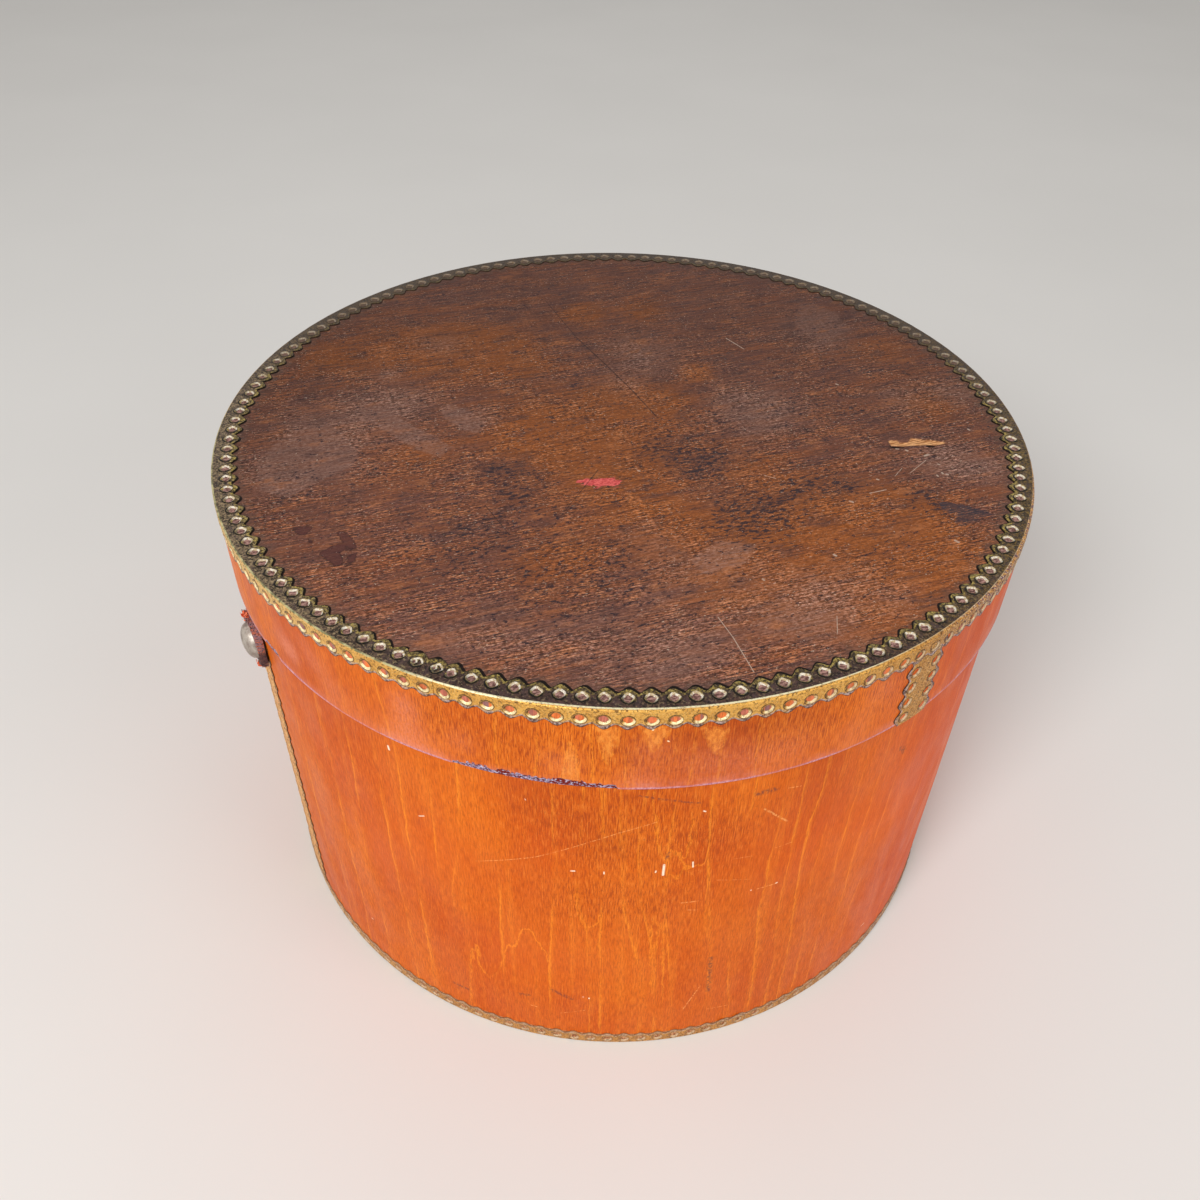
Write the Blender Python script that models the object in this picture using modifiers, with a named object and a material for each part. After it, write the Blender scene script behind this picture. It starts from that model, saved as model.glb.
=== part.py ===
"""A round plywood hatbox bound with scalloped brass strip.

Metres, +Z up. The origin is the centre of the foot, on the surface the box stands on.
Azimuths are in degrees, anticlockwise from +X as seen from above.
The lid is a loose fit over the wall and lifts straight up along Z.
"""

import math

import bmesh
import bpy
from mathutils import Matrix, Vector

# The whole box
BOX_HEIGHT = 0.2587
LID_RADIUS = 0.2000
LID_DEPTH = 0.0466

# Clearances
SEAT_GAP = 0.0003
LID_CLEARANCE = 0.0005
CUT_OVERRUN = 0.0020
MERGE_DISTANCE = 0.00001

# Plywood
RIM_THICKNESS = 0.0024
WALL_THICKNESS = 0.0030
LID_PANEL_THICKNESS = 0.0050
BASE_PANEL_THICKNESS = 0.0050
BUTT_JOINT_GAP = 0.0004
WORN_ARRIS = 0.0005

# Brass strip, the same stock everywhere
BRASS_THICKNESS = 0.00045
STRIP_WIDTH = 0.0226
SCALLOP_PITCH = 0.00888
SCALLOP_DEPTH = 0.0028
SCALLOP_TIP_SHARE = 0.52
HOLE_RADIUS = 0.0020
HOLE_INSET = 0.0052
STRIP_END_GAP = 0.0004
LID_SIDE_LEG = 0.0106
FOOT_SIDE_LEG = 0.0098

# Places round the box
LID_BINDING_SEAM = 249.6
FOOT_BINDING_SEAM = 292.5
LID_JOINT = 309.1
BODY_JOINT = 211.0
HALF_TURN = 180.0

# What is left of the carrying strap, on the wall below the lid
LEATHER_DROP = 0.0070
LEATHER_HEIGHT = 0.0210
LEATHER_WIDTH = 0.0220
LEATHER_THICKNESS = 0.0035
STRIP_UNDER_LEATHER = 0.0160

# The torn ends of the leather, as shares of its width and of its height past the middle
TORN_TOP_SHARES = ((0.50, 0.40), (0.31, 0.47), (0.18, 0.41), (0.02, 0.50), (-0.14, 0.43),
                   (-0.33, 0.49), (-0.50, 0.44))
TORN_FOOT_SHARES = ((-0.50, -0.43), (-0.36, -0.49), (-0.19, -0.42), (-0.05, -0.47),
                    (0.12, -0.41), (0.30, -0.50), (0.50, -0.45))

# Strap studs
STUD_HEAD_RADIUS = 0.00925
STUD_HEAD_HEIGHT = 0.0053
STUD_SHANK_RADIUS = 0.00175
STUD_PEEN_RADIUS = 0.0030
STUD_PEEN_HEIGHT = 0.0008
STUD_STEPS = 20
DOME_STEPS = 5
WASHER_RADIUS = 0.0060
WASHER_THICKNESS = 0.0010

# What the folded strips have left for their flat legs
LID_FLAT_LEG = STRIP_WIDTH - LID_SIDE_LEG
FOOT_FLAT_LEG = STRIP_WIDTH - FOOT_SIDE_LEG

# Radii worked out from the lid inwards
RIM_RADIUS = LID_RADIUS - BRASS_THICKNESS - SEAT_GAP
RIM_BORE = RIM_RADIUS - RIM_THICKNESS
LID_PANEL_RADIUS = RIM_BORE - SEAT_GAP
WALL_RADIUS = RIM_BORE - LID_CLEARANCE
WALL_BORE = WALL_RADIUS - WALL_THICKNESS
BASE_PANEL_RADIUS = WALL_BORE - SEAT_GAP
BODY_BRASS_BORE = WALL_RADIUS + SEAT_GAP
BODY_BRASS_RADIUS = BODY_BRASS_BORE + BRASS_THICKNESS

# Heights worked out from the foot and the top
WOOD_FOOT = BRASS_THICKNESS + SEAT_GAP
WOOD_TOP = BOX_HEIGHT - BRASS_THICKNESS - SEAT_GAP
LID_PANEL_FOOT = WOOD_TOP - LID_PANEL_THICKNESS
WALL_TOP = LID_PANEL_FOOT - SEAT_GAP
RIM_FOOT = BOX_HEIGHT - LID_DEPTH
STUD_LEVEL = RIM_FOOT - LEATHER_DROP - LEATHER_HEIGHT / 2

# Facets round the plywood, and the edges that stay sharp
ROUND_STEPS = 96
SHARP_ANGLE = 30.0


def clear_scene():
    for obj in list(bpy.data.objects):
        bpy.data.objects.remove(obj, do_unlink=True)


def new_collection(name):
    collection = bpy.data.collections.new(name)
    bpy.context.scene.collection.children.link(collection)
    return collection


def new_material(name, colour, roughness, metallic):
    material = bpy.data.materials.new(name)
    material.use_nodes = True
    shader = material.node_tree.nodes["Principled BSDF"]
    shader.inputs["Base Color"].default_value = (*colour, 1.0)
    shader.inputs["Roughness"].default_value = roughness
    shader.inputs["Metallic"].default_value = metallic
    return material


def polar(radius, angle, height):
    return Vector((radius * math.cos(angle), radius * math.sin(angle), height))


def add_piece(name, mesh, material):
    """Put one named piece of the box in its collection."""
    piece = bpy.data.objects.new(name, mesh)
    piece.data.materials.append(material)
    PARTS.objects.link(piece)
    return piece


def add_cutter(name, bm):
    """Make a hidden cutting shape from a finished bmesh."""
    mesh = bpy.data.meshes.new(name)
    bm.to_mesh(mesh)
    bm.free()
    cutter = bpy.data.objects.new(name, mesh)
    cutter.hide_render = True
    cutter.display_type = "WIRE"
    CUTTERS.objects.link(cutter)
    return cutter


def cut(piece, cutter):
    boolean = piece.modifiers.new(cutter.name, "BOOLEAN")
    boolean.operation = "DIFFERENCE"
    boolean.object = cutter


def thicken(piece, thickness, outwards):
    solidify = piece.modifiers.new("Sheet", "SOLIDIFY")
    solidify.thickness = thickness
    solidify.offset = 1.0 if outwards else -1.0
    solidify.use_even_offset = True


def turned_piece(name, profile, steps, material, closed):
    """Turn a profile of (radius, height) points about Z, its outer side listed top to bottom."""
    points = [(radius, 0.0, height) for radius, height in profile]
    edges = [(i, i + 1) for i in range(len(points) - 1)]
    if closed:
        edges.append((len(points) - 1, 0))
    mesh = bpy.data.meshes.new(name)
    mesh.from_pydata(points, edges, [])
    piece = add_piece(name, mesh, material)
    screw = piece.modifiers.new("Turn", "SCREW")
    screw.axis = "Z"
    screw.steps = steps
    screw.render_steps = steps
    screw.use_smooth_shade = True
    screw.use_merge_vertices = True
    screw.merge_threshold = MERGE_DISTANCE
    return piece


def ply_hoop(name, radius, thickness, foot, top, joint_azimuth, material):
    """A ply strip bent into a hoop, its ends butted together at one azimuth."""
    bore = radius - thickness
    profile = [
        (radius - WORN_ARRIS, top),
        (radius, top - WORN_ARRIS),
        (radius, foot + WORN_ARRIS),
        (radius - WORN_ARRIS, foot),
        (bore, foot),
        (bore, top),
    ]
    hoop = turned_piece(name, profile, ROUND_STEPS, material, closed=True)
    bm = bmesh.new()
    bmesh.ops.create_cube(bm, size=1.0)
    size = (thickness + 2 * CUT_OVERRUN, BUTT_JOINT_GAP, top - foot + 2 * CUT_OVERRUN)
    bm.transform(Matrix.Diagonal((*size, 1.0)))
    bm.transform(Matrix.Translation((radius - thickness / 2, 0.0, (foot + top) / 2)))
    bm.transform(Matrix.Rotation(math.radians(joint_azimuth), 4, "Z"))
    cut(hoop, add_cutter(name + "_joint_cutter", bm))
    return hoop


def sheet_piece(name, bm, material):
    """Make a named piece from a finished bmesh."""
    mesh = bpy.data.meshes.new(name)
    bm.to_mesh(mesh)
    bm.free()
    return add_piece(name, mesh, material)


def ply_disc(name, radius, foot, thickness, material):
    bm = bmesh.new()
    bmesh.ops.create_cone(bm, cap_ends=True, segments=ROUND_STEPS, radius1=radius,
                          radius2=radius, depth=thickness,
                          matrix=Matrix.Translation((0.0, 0.0, foot + thickness / 2)))
    disc = sheet_piece(name, bm, material)
    disc.data.shade_smooth()
    disc.data.set_sharp_from_angle(angle=math.radians(SHARP_ANGLE))
    return disc


def scallop_faces(leg):
    """One scallop of a strip, with its punched hole.

    The corners are (share of the pitch along the strip, distance out from the leg's base line).
    """
    valley = leg - SCALLOP_DEPTH
    row = leg - HOLE_INSET
    reach = HOLE_RADIUS / SCALLOP_PITCH
    outline = [
        (0.0, 0.0),
        (1.0, 0.0),
        (1.0, valley),
        (0.5 + SCALLOP_TIP_SHARE / 2, leg),
        (0.5 - SCALLOP_TIP_SHARE / 2, leg),
        (0.0, valley),
    ]
    near = (0.5, row - HOLE_RADIUS)
    right = (0.5 + reach, row)
    far = (0.5, row + HOLE_RADIUS)
    left = (0.5 - reach, row)
    hole = [[near], [right, near], [far, right], [far], [left, far], [near, left]]
    edges = zip(outline, outline[1:] + outline[:1])
    return [[first, second] + inner for (first, second), inner in zip(edges, hole)]


def add_leg(bm, leg, place, order):
    """Add one scallop, set in its place by a function of (along, out). Order -1 flips it over."""
    for face in scallop_faces(leg):
        bm.faces.new([bm.verts.new(place(*corner)) for corner in face[::order]])


def angle_binding(name, radius, edge, facing, flat_leg, side_leg, seam_azimuth, material):
    """A brass strip folded over a round edge, its ends butted together at one azimuth.

    The edge is the height of the fold. Facing is +1 where the flat leg looks up and the
    side leg hangs down from it, and -1 for the same binding the other way up.
    """
    count = round(2 * math.pi * radius / SCALLOP_PITCH)
    end_angle = STRIP_END_GAP / radius
    start = math.radians(seam_azimuth) + end_angle / 2
    step = (2 * math.pi - end_angle) / count
    bm = bmesh.new()
    for i in range(count):
        def on_flat(along, out):
            return polar(radius - out, start + (i + along) * step, edge)

        def on_side(along, out):
            fold = on_flat(0.0, 0.0).lerp(on_flat(1.0, 0.0), along)
            return fold - Vector((0.0, 0.0, facing * out))

        add_leg(bm, flat_leg, on_flat, facing)
        add_leg(bm, side_leg, on_side, -facing)
    bmesh.ops.remove_doubles(bm, verts=bm.verts, dist=MERGE_DISTANCE)
    binding = sheet_piece(name, bm, material)
    thicken(binding, BRASS_THICKNESS, outwards=False)
    return binding


def wrapped_plate(name, outline, radius, thickness, azimuth, material):
    """Wrap a flat outline of (sideways, height) points round the box and thicken it outwards."""
    bm = bmesh.new()
    bm.faces.new([bm.verts.new((sideways, 0.0, height)) for sideways, height in outline])
    left = min(sideways for sideways, height in outline)
    right = max(sideways for sideways, height in outline)
    columns = math.ceil((right - left) / SCALLOP_PITCH)
    for i in range(1, columns):
        place = left + (right - left) * i / columns
        bmesh.ops.bisect_plane(bm, geom=bm.verts[:] + bm.edges[:] + bm.faces[:],
                               dist=MERGE_DISTANCE, plane_co=(place, 0.0, 0.0),
                               plane_no=(1.0, 0.0, 0.0))
    for vert in bm.verts:
        vert.co = polar(radius, math.radians(azimuth) + vert.co.x / radius, vert.co.z)
    plate = sheet_piece(name, bm, material)
    thicken(plate, thickness, outwards=True)
    return plate


def joint_strip(name, bore, azimuth, foot, top, material):
    """A flat brass strip, scalloped along both sides, over a butt joint in the ply."""
    count = max(1, round((top - foot) / SCALLOP_PITCH))
    pitch = (top - foot) / count
    middle = math.radians(azimuth)
    bm = bmesh.new()
    for i in range(count):
        for side in (-1, 1):
            def on_wall(along, out):
                return polar(bore, middle + side * out / bore, foot + (i + along) * pitch)

            add_leg(bm, STRIP_WIDTH / 2, on_wall, -side)
    bmesh.ops.remove_doubles(bm, verts=bm.verts, dist=MERGE_DISTANCE)
    strip = sheet_piece(name, bm, material)
    thicken(strip, BRASS_THICKNESS, outwards=True)
    return strip


def strap_stub(name, bore, azimuth, material):
    """The torn piece of strap leather that is left under a stud."""
    outline = [
        (across * LEATHER_WIDTH, STUD_LEVEL + up * LEATHER_HEIGHT)
        for across, up in TORN_TOP_SHARES + TORN_FOOT_SHARES
    ]
    return wrapped_plate(name, outline, bore, LEATHER_THICKNESS, azimuth, material)


def face_outwards(piece, distance, azimuth):
    """Turn a piece's own +Z to point out of the box, and set it at a distance from the middle."""
    piece.location = polar(distance, math.radians(azimuth), STUD_LEVEL)
    piece.rotation_euler = (0.0, math.pi / 2, math.radians(azimuth))


def washer_distance():
    """Where the washer's outer face sits, just clear of the round bore of the wall."""
    facet = math.cos(math.pi / ROUND_STEPS)
    return math.sqrt((WALL_BORE * facet) ** 2 - WASHER_RADIUS ** 2) - SEAT_GAP


def strap_stud(name, seat, azimuth, material):
    """A domed stud whose shank goes through the wall and is peened over a washer."""
    dome = [(0.0, STUD_HEAD_HEIGHT)]
    for i in range(1, DOME_STEPS + 1):
        angle = math.pi / 2 * (1 - i / DOME_STEPS)
        dome.append((STUD_HEAD_RADIUS * math.cos(angle), STUD_HEAD_HEIGHT * math.sin(angle)))
    shank_foot = washer_distance() - WASHER_THICKNESS - SEAT_GAP - seat
    profile = dome + [
        (STUD_SHANK_RADIUS, 0.0),
        (STUD_SHANK_RADIUS, shank_foot),
        (STUD_PEEN_RADIUS, shank_foot),
        (STUD_PEEN_RADIUS, shank_foot - STUD_PEEN_HEIGHT),
        (0.0, shank_foot - STUD_PEEN_HEIGHT),
    ]
    stud = turned_piece(name, profile, STUD_STEPS, material, closed=False)
    face_outwards(stud, seat, azimuth)
    return stud


def stud_washer(name, azimuth, material):
    hole = STUD_SHANK_RADIUS + SEAT_GAP
    profile = [
        (WASHER_RADIUS, 0.0),
        (WASHER_RADIUS, -WASHER_THICKNESS),
        (hole, -WASHER_THICKNESS),
        (hole, 0.0),
    ]
    washer = turned_piece(name, profile, STUD_STEPS, material, closed=True)
    face_outwards(washer, washer_distance(), azimuth)
    return washer


def stud_hole_cutter(name, seat, azimuth):
    """A round cutter along a stud's shank, with the seating clearance all round."""
    inner = WALL_BORE - CUT_OVERRUN
    length = seat + CUT_OVERRUN - inner
    bm = bmesh.new()
    bmesh.ops.create_cone(bm, cap_ends=True, segments=STUD_STEPS,
                          radius1=STUD_SHANK_RADIUS + SEAT_GAP,
                          radius2=STUD_SHANK_RADIUS + SEAT_GAP, depth=length)
    cutter = add_cutter(name, bm)
    face_outwards(cutter, inner + length / 2, azimuth)
    return cutter


def strap_end(side, leather_bore, azimuth, pierced):
    """One end of the lost strap: torn leather, stud and washer, with holes in what they pass."""
    seat = leather_bore + LEATHER_THICKNESS + SEAT_GAP
    stub = strap_stub("strap_stub_" + side, leather_bore, azimuth, LEATHER)
    strap_stud("strap_stud_" + side, seat, azimuth, NICKEL)
    stud_washer("stud_washer_" + side, azimuth, NICKEL)
    cutter = stud_hole_cutter("stud_hole_cutter_" + side, seat, azimuth)
    for piece in pierced + [stub]:
        cut(piece, cutter)


def build_body():
    """The lower half of the box, with all that is fixed to it."""
    wall = ply_hoop("body_wall", WALL_RADIUS, WALL_THICKNESS, WOOD_FOOT, WALL_TOP,
                    BODY_JOINT, WALL_PLY)
    ply_disc("base_panel", BASE_PANEL_RADIUS, WOOD_FOOT, BASE_PANEL_THICKNESS, WALL_PLY)
    angle_binding("foot_binding", BODY_BRASS_RADIUS, 0.0, -1, FOOT_FLAT_LEG, FOOT_SIDE_LEG,
                  FOOT_BINDING_SEAM, BRASS)
    strip_top = STUD_LEVEL - LEATHER_HEIGHT / 2 + STRIP_UNDER_LEATHER
    strip = joint_strip("body_joint_strip", BODY_BRASS_BORE, BODY_JOINT,
                        FOOT_SIDE_LEG + SEAT_GAP, strip_top, BRASS)
    strap_end("left", BODY_BRASS_RADIUS + SEAT_GAP, BODY_JOINT, [wall, strip])
    strap_end("right", WALL_RADIUS + SEAT_GAP, BODY_JOINT - HALF_TURN, [wall])


def build_lid():
    """The loose lid. Its pieces hang on an empty that stands on the axis it lifts along."""
    pieces = [
        ply_disc("lid_panel", LID_PANEL_RADIUS, LID_PANEL_FOOT, LID_PANEL_THICKNESS, TOP_PLY),
        ply_hoop("lid_rim", RIM_RADIUS, RIM_THICKNESS, RIM_FOOT, WOOD_TOP, LID_JOINT, WALL_PLY),
        angle_binding("lid_binding", LID_RADIUS, BOX_HEIGHT, 1, LID_FLAT_LEG, LID_SIDE_LEG,
                      LID_BINDING_SEAM, BRASS),
        joint_strip("lid_joint_strip", RIM_RADIUS + SEAT_GAP, LID_JOINT, RIM_FOOT,
                    BOX_HEIGHT - LID_SIDE_LEG - SEAT_GAP, BRASS),
    ]
    axis = bpy.data.objects.new("lid_lift_axis", None)
    PARTS.objects.link(axis)
    for piece in pieces:
        piece.parent = axis


clear_scene()
PARTS = new_collection("hatbox")
CUTTERS = new_collection("cutters")
WALL_PLY = new_material("varnished_ply", (0.55, 0.17, 0.03), 0.35, 0.0)
TOP_PLY = new_material("darkened_ply", (0.12, 0.055, 0.03), 0.55, 0.0)
BRASS = new_material("aged_brass", (0.45, 0.30, 0.10), 0.45, 1.0)
NICKEL = new_material("dull_nickel", (0.42, 0.38, 0.34), 0.40, 1.0)
LEATHER = new_material("torn_leather", (0.16, 0.05, 0.04), 0.75, 0.0)
build_body()
build_lid()
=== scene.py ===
"""The looks of a round plywood hatbox: varnish, worn wood, punched brass strip, leather and studs.

Lengths are in millimetres until a mesh is made. +Z is up, and azimuths are in degrees,
anticlockwise from +X as seen from above. Pixels are those of the 1200 by 1200 photograph.
"""

import math
import random

import bpy
import numpy as np
from mathutils import Matrix, Vector


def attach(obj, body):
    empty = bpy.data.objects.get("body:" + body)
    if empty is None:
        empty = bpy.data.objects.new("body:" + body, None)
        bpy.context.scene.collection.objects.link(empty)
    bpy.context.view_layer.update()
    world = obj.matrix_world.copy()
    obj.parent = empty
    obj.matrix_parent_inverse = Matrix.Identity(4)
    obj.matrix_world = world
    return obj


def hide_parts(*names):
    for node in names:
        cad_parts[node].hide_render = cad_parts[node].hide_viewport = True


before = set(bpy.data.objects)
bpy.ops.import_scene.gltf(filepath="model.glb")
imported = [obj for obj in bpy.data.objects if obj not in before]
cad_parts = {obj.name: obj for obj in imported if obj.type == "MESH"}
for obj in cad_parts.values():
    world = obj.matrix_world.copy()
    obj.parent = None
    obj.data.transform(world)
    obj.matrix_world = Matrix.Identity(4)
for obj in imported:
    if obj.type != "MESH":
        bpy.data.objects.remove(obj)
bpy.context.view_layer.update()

MM = 0.001
TAU = 2 * math.pi

# Sizes of the solids that this file dresses
RIM_RADIUS = 199.25
RIM_BORE = 196.85
RIM_FOOT = 212.1
PANEL_RADIUS = 196.55
PANEL_FOOT = 252.95
WOOD_TOP = 257.95
WALL_RADIUS = 196.35
WALL_BORE = 193.35
WALL_TOP = 252.65
BASE_RADIUS = 193.05
BASE_TOP = 5.75
WOOD_FOOT = 0.75
HALF_JOINT_GAP = 0.2
LID_JOINT = 309.1
BODY_JOINT = 211.0
STUD_LEVEL = 194.6
LEATHER_BORE = {"left": 197.4, "right": 196.65}
LEATHER_THICKNESS = 3.5
WASHER_OUT = 193.15
LEATHER_HALF_WIDTH = 11.0
LEATHER_HALF_HEIGHT = 10.4
TORN_LEVEL = 9.3
SHANK_RADIUS = 1.75

# The photograph's camera
IMAGE_WIDTH = 1200
SENSOR_WIDTH = 36.0
FOCAL_PIXELS = 1079.0
CAMERA_PLACE = Vector((0.0, -468.7, 549.2))
PITCH = 0.7222
YAW = -0.0202
ROLL = 0.0203

# Brass strip
PITCH_ANGLE = 2.5353
LID_PITCH = math.radians(PITCH_ANGLE) * RIM_RADIUS
LID_START = 245.02
LID_SCALLOPS = 144
FOOT_PITCH = math.radians(2.5491) * WALL_RADIUS
FOOT_START = 287.95
FOOT_SCALLOPS = 143
FOOT_FLAT_LEG = 12.35
FOOT_SIDE_LEG = 9.35
STRIP_LEG = 11.3
LID_FLAT_LEG = 11.55
LID_SIDE_LEG = 10.15
SCALLOP_DEPTH = 3.0
SCALLOP_POWER = 1.4
HOLE_INSET = 5.2
FOLD_HALF = 1.2
CORNER_RADIUS = 0.4
CORNER_REACH = 0.7
SHEET_FOOT = 0.05
SHEET_TOP = 0.50
# How the sheet gives way where it laps or is crossed by another strip
LAP_LIFT = 0.27
LAP_RISE = 0.08
THINNING = 0.22


def camera_axes():
    forward = Vector((math.sin(YAW) * math.cos(PITCH), math.cos(YAW) * math.cos(PITCH),
                      -math.sin(PITCH)))
    level = Vector((math.cos(YAW), -math.sin(YAW), 0.0))
    upright = level.cross(forward)
    right = math.cos(ROLL) * level + math.sin(ROLL) * upright
    up = math.cos(ROLL) * upright - math.sin(ROLL) * level
    return right, up, forward


def sight(pixel):
    """The direction from the camera through a pixel of the photograph."""
    right, up, forward = camera_axes()
    across = (pixel[0] - IMAGE_WIDTH / 2) / FOCAL_PIXELS
    down = (pixel[1] - IMAGE_WIDTH / 2) / FOCAL_PIXELS
    return across * right - down * up + forward


def on_lid(pixel):
    """Where a pixel falls on the lid's wood, as (x, y)."""
    ray = sight(pixel)
    point = CAMERA_PLACE + ray * ((WOOD_TOP - CAMERA_PLACE.z) / ray.z)
    return point.x, point.y


def on_wall(pixel, radius):
    """Where a pixel falls on an upright round wall, as (azimuth, height)."""
    ray = sight(pixel)
    a = ray.x ** 2 + ray.y ** 2
    b = 2 * (CAMERA_PLACE.x * ray.x + CAMERA_PLACE.y * ray.y)
    c = CAMERA_PLACE.x ** 2 + CAMERA_PLACE.y ** 2 - radius ** 2
    spare = max(b * b - 4 * a * c, 0.0)
    point = CAMERA_PLACE + ray * ((-b - math.sqrt(spare)) / (2 * a))
    return math.degrees(math.atan2(point.y, point.x)) % 360, point.z


def smooth(value, low, high):
    """0 up to low, 1 from high, and a soft step between."""
    share = np.clip((np.asarray(value, float) - low) / (high - low), 0.0, 1.0)
    return share * share * (3 - 2 * share)


def polar(radius, azimuth, height):
    turn = math.radians(azimuth)
    return radius * math.cos(turn), radius * math.sin(turn), height


def new_mesh(name, points, faces, material, body, slot, sharp=35.0, **marks):
    """Make one piece from millimetre points, with extra point attributes for its finish."""
    mesh = bpy.data.meshes.new(name)
    points = np.asarray(points, float) * MM
    mesh.from_pydata(points.tolist(), [], faces)
    for mark, values in marks.items():
        values = np.asarray(values, np.float32)
        kind = "FLOAT_VECTOR" if values.ndim == 2 else "FLOAT"
        layer = mesh.attributes.new(mark, kind, "POINT")
        layer.data.foreach_set("vector" if values.ndim == 2 else "value", values.ravel())
    mesh.materials.append(material)
    mesh.update()
    mesh.shade_smooth()
    mesh.set_sharp_from_angle(angle=math.radians(sharp))
    piece = bpy.data.objects.new(name, mesh)
    bpy.context.scene.collection.objects.link(piece)
    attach(piece, body)
    return piece


def rgb(red, green, blue):
    """A colour as it looks on a screen, made linear."""
    parts = [value / 255 for value in (red, green, blue)]
    return [v / 12.92 if v <= 0.04045 else ((v + 0.055) / 1.055) ** 2.4 for v in parts] + [1.0]


class Value:
    """A number, place or colour inside a material. Each sum or step on it adds a node."""

    def __init__(self, finish, socket):
        self.finish, self.socket = finish, socket

    def math(self, operation, *others, clamp=False):
        return self.finish.node("Math", self, *others, operation=operation, use_clamp=clamp)

    def __add__(self, other):
        return self.math("ADD", other)

    def __sub__(self, other):
        return self.math("SUBTRACT", other)

    def __mul__(self, other):
        return self.math("MULTIPLY", other)

    def __truediv__(self, other):
        return self.math("DIVIDE", other)

    def __abs__(self):
        return self.math("ABSOLUTE")

    def vector(self, operation, *others, output=0, inputs=None):
        return self.finish.node("VectorMath", self, *others, output=output, inputs=inputs,
                                operation=operation)

    def scaled(self, x, y, z):
        return self.vector("MULTIPLY", (x, y, z))

    def shade(self, factor):
        """A colour made darker or lighter by a factor."""
        return self.vector("SCALE", inputs={"Scale": factor})

    def parts(self):
        node = self.finish.node("SeparateXYZ", self).socket.node
        return [Value(self.finish, part) for part in node.outputs]

    def noise(self, scale, detail=2.0, roughness=0.5, distortion=0.0):
        return self.finish.node("TexNoise", inputs={
            "Vector": self, "Scale": scale, "Detail": detail, "Roughness": roughness,
            "Distortion": distortion})

    def grain(self, x, y, detail=3.0, roughness=0.5, scale=1.0):
        """Noise drawn out along the place's first two parts, by waves per mm."""
        return self.scaled(x, y, 1.0).noise(scale, detail, roughness)

    def ramp(self, low, high, start=0.0, end=1.0):
        """A soft step from start to end as the value goes from low to high."""
        return self.finish.node("MapRange", self, low, high, start, end,
                                interpolation_type="SMOOTHSTEP")

    def mix(self, first, second):
        """The first colour where this share is 0, and the second where it is 1."""
        return self.finish.node("Mix", data_type="RGBA", inputs={0: self, 6: first, 7: second},
                                output=2)

    def coat(self, *coats):
        """This colour under some others, each as (where it shows, colour)."""
        colour = self
        for share, tint in coats:
            colour = share.mix(colour, tint)
        return colour

    def streak(self, start, end, width, soft=0.5):
        """A straight scratch between two places in the plane of a vector's first two parts."""
        run = Vector((end[0] - start[0], end[1] - start[1], 0.0))
        far = self.vector("SUBTRACT", (*start, 0.0))
        share = far.vector("DOT_PRODUCT", run / max(run.length_squared, 1e-9), output="Value")
        share = share.math("ADD", 0.0, clamp=True)
        along = self.finish.node("VectorMath", run[:], (0, 0, 0), (0, 0, 0), operation="SCALE",
                                 inputs={"Scale": share})
        gap = far.vector("SUBTRACT", along).vector("LENGTH", output="Value")
        return gap.ramp(width * soft, width, 1.0, 0.0)


class Finish:
    """One procedural material. Each call adds a node and gives back its output as a Value."""

    def __init__(self, name, **settings):
        self.material = bpy.data.materials.new(name)
        self.material.use_nodes = True
        self.nodes = self.material.node_tree.nodes
        self.shader = self.nodes["Principled BSDF"]
        self.set(**settings)

    def put(self, socket, value):
        if isinstance(value, Value):
            self.material.node_tree.links.new(value.socket, socket)
        elif socket.type == "RGBA":
            socket.default_value = rgb(*value)
        else:
            socket.default_value = value

    def node(self, kind, *values, output=0, inputs=None, **settings):
        """Add a node, fill its inputs in order and then by name, and give back one output."""
        node = self.nodes.new("ShaderNode" + kind)
        for name, value in settings.items():
            setattr(node, name, value)
        for socket, value in (*enumerate(values), *(inputs or {}).items()):
            self.put(node.inputs[socket], value)
        return Value(self, node.outputs[output])

    def set(self, **settings):
        for name, value in settings.items():
            socket = name.replace("_", " ").title().replace("Ior", "IOR")
            self.put(self.shader.inputs[socket], value)

    def mark(self, name):
        """A point attribute of the mesh, as a number."""
        return self.node("Attribute", output="Fac", attribute_name=name)

    def place(self, name="place"):
        """A point attribute of the mesh, as a vector."""
        return self.node("Attribute", output="Vector", attribute_name=name)

    def here(self):
        """The point's own place in millimetres."""
        return self.node("TexCoord", output="Object").scaled(1 / MM, 1 / MM, 1 / MM)

    def bump(self, height, distance, strength):
        self.set(normal=self.node("Bump", inputs={
            "Strength": strength, "Distance": distance, "Height": height}))


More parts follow.
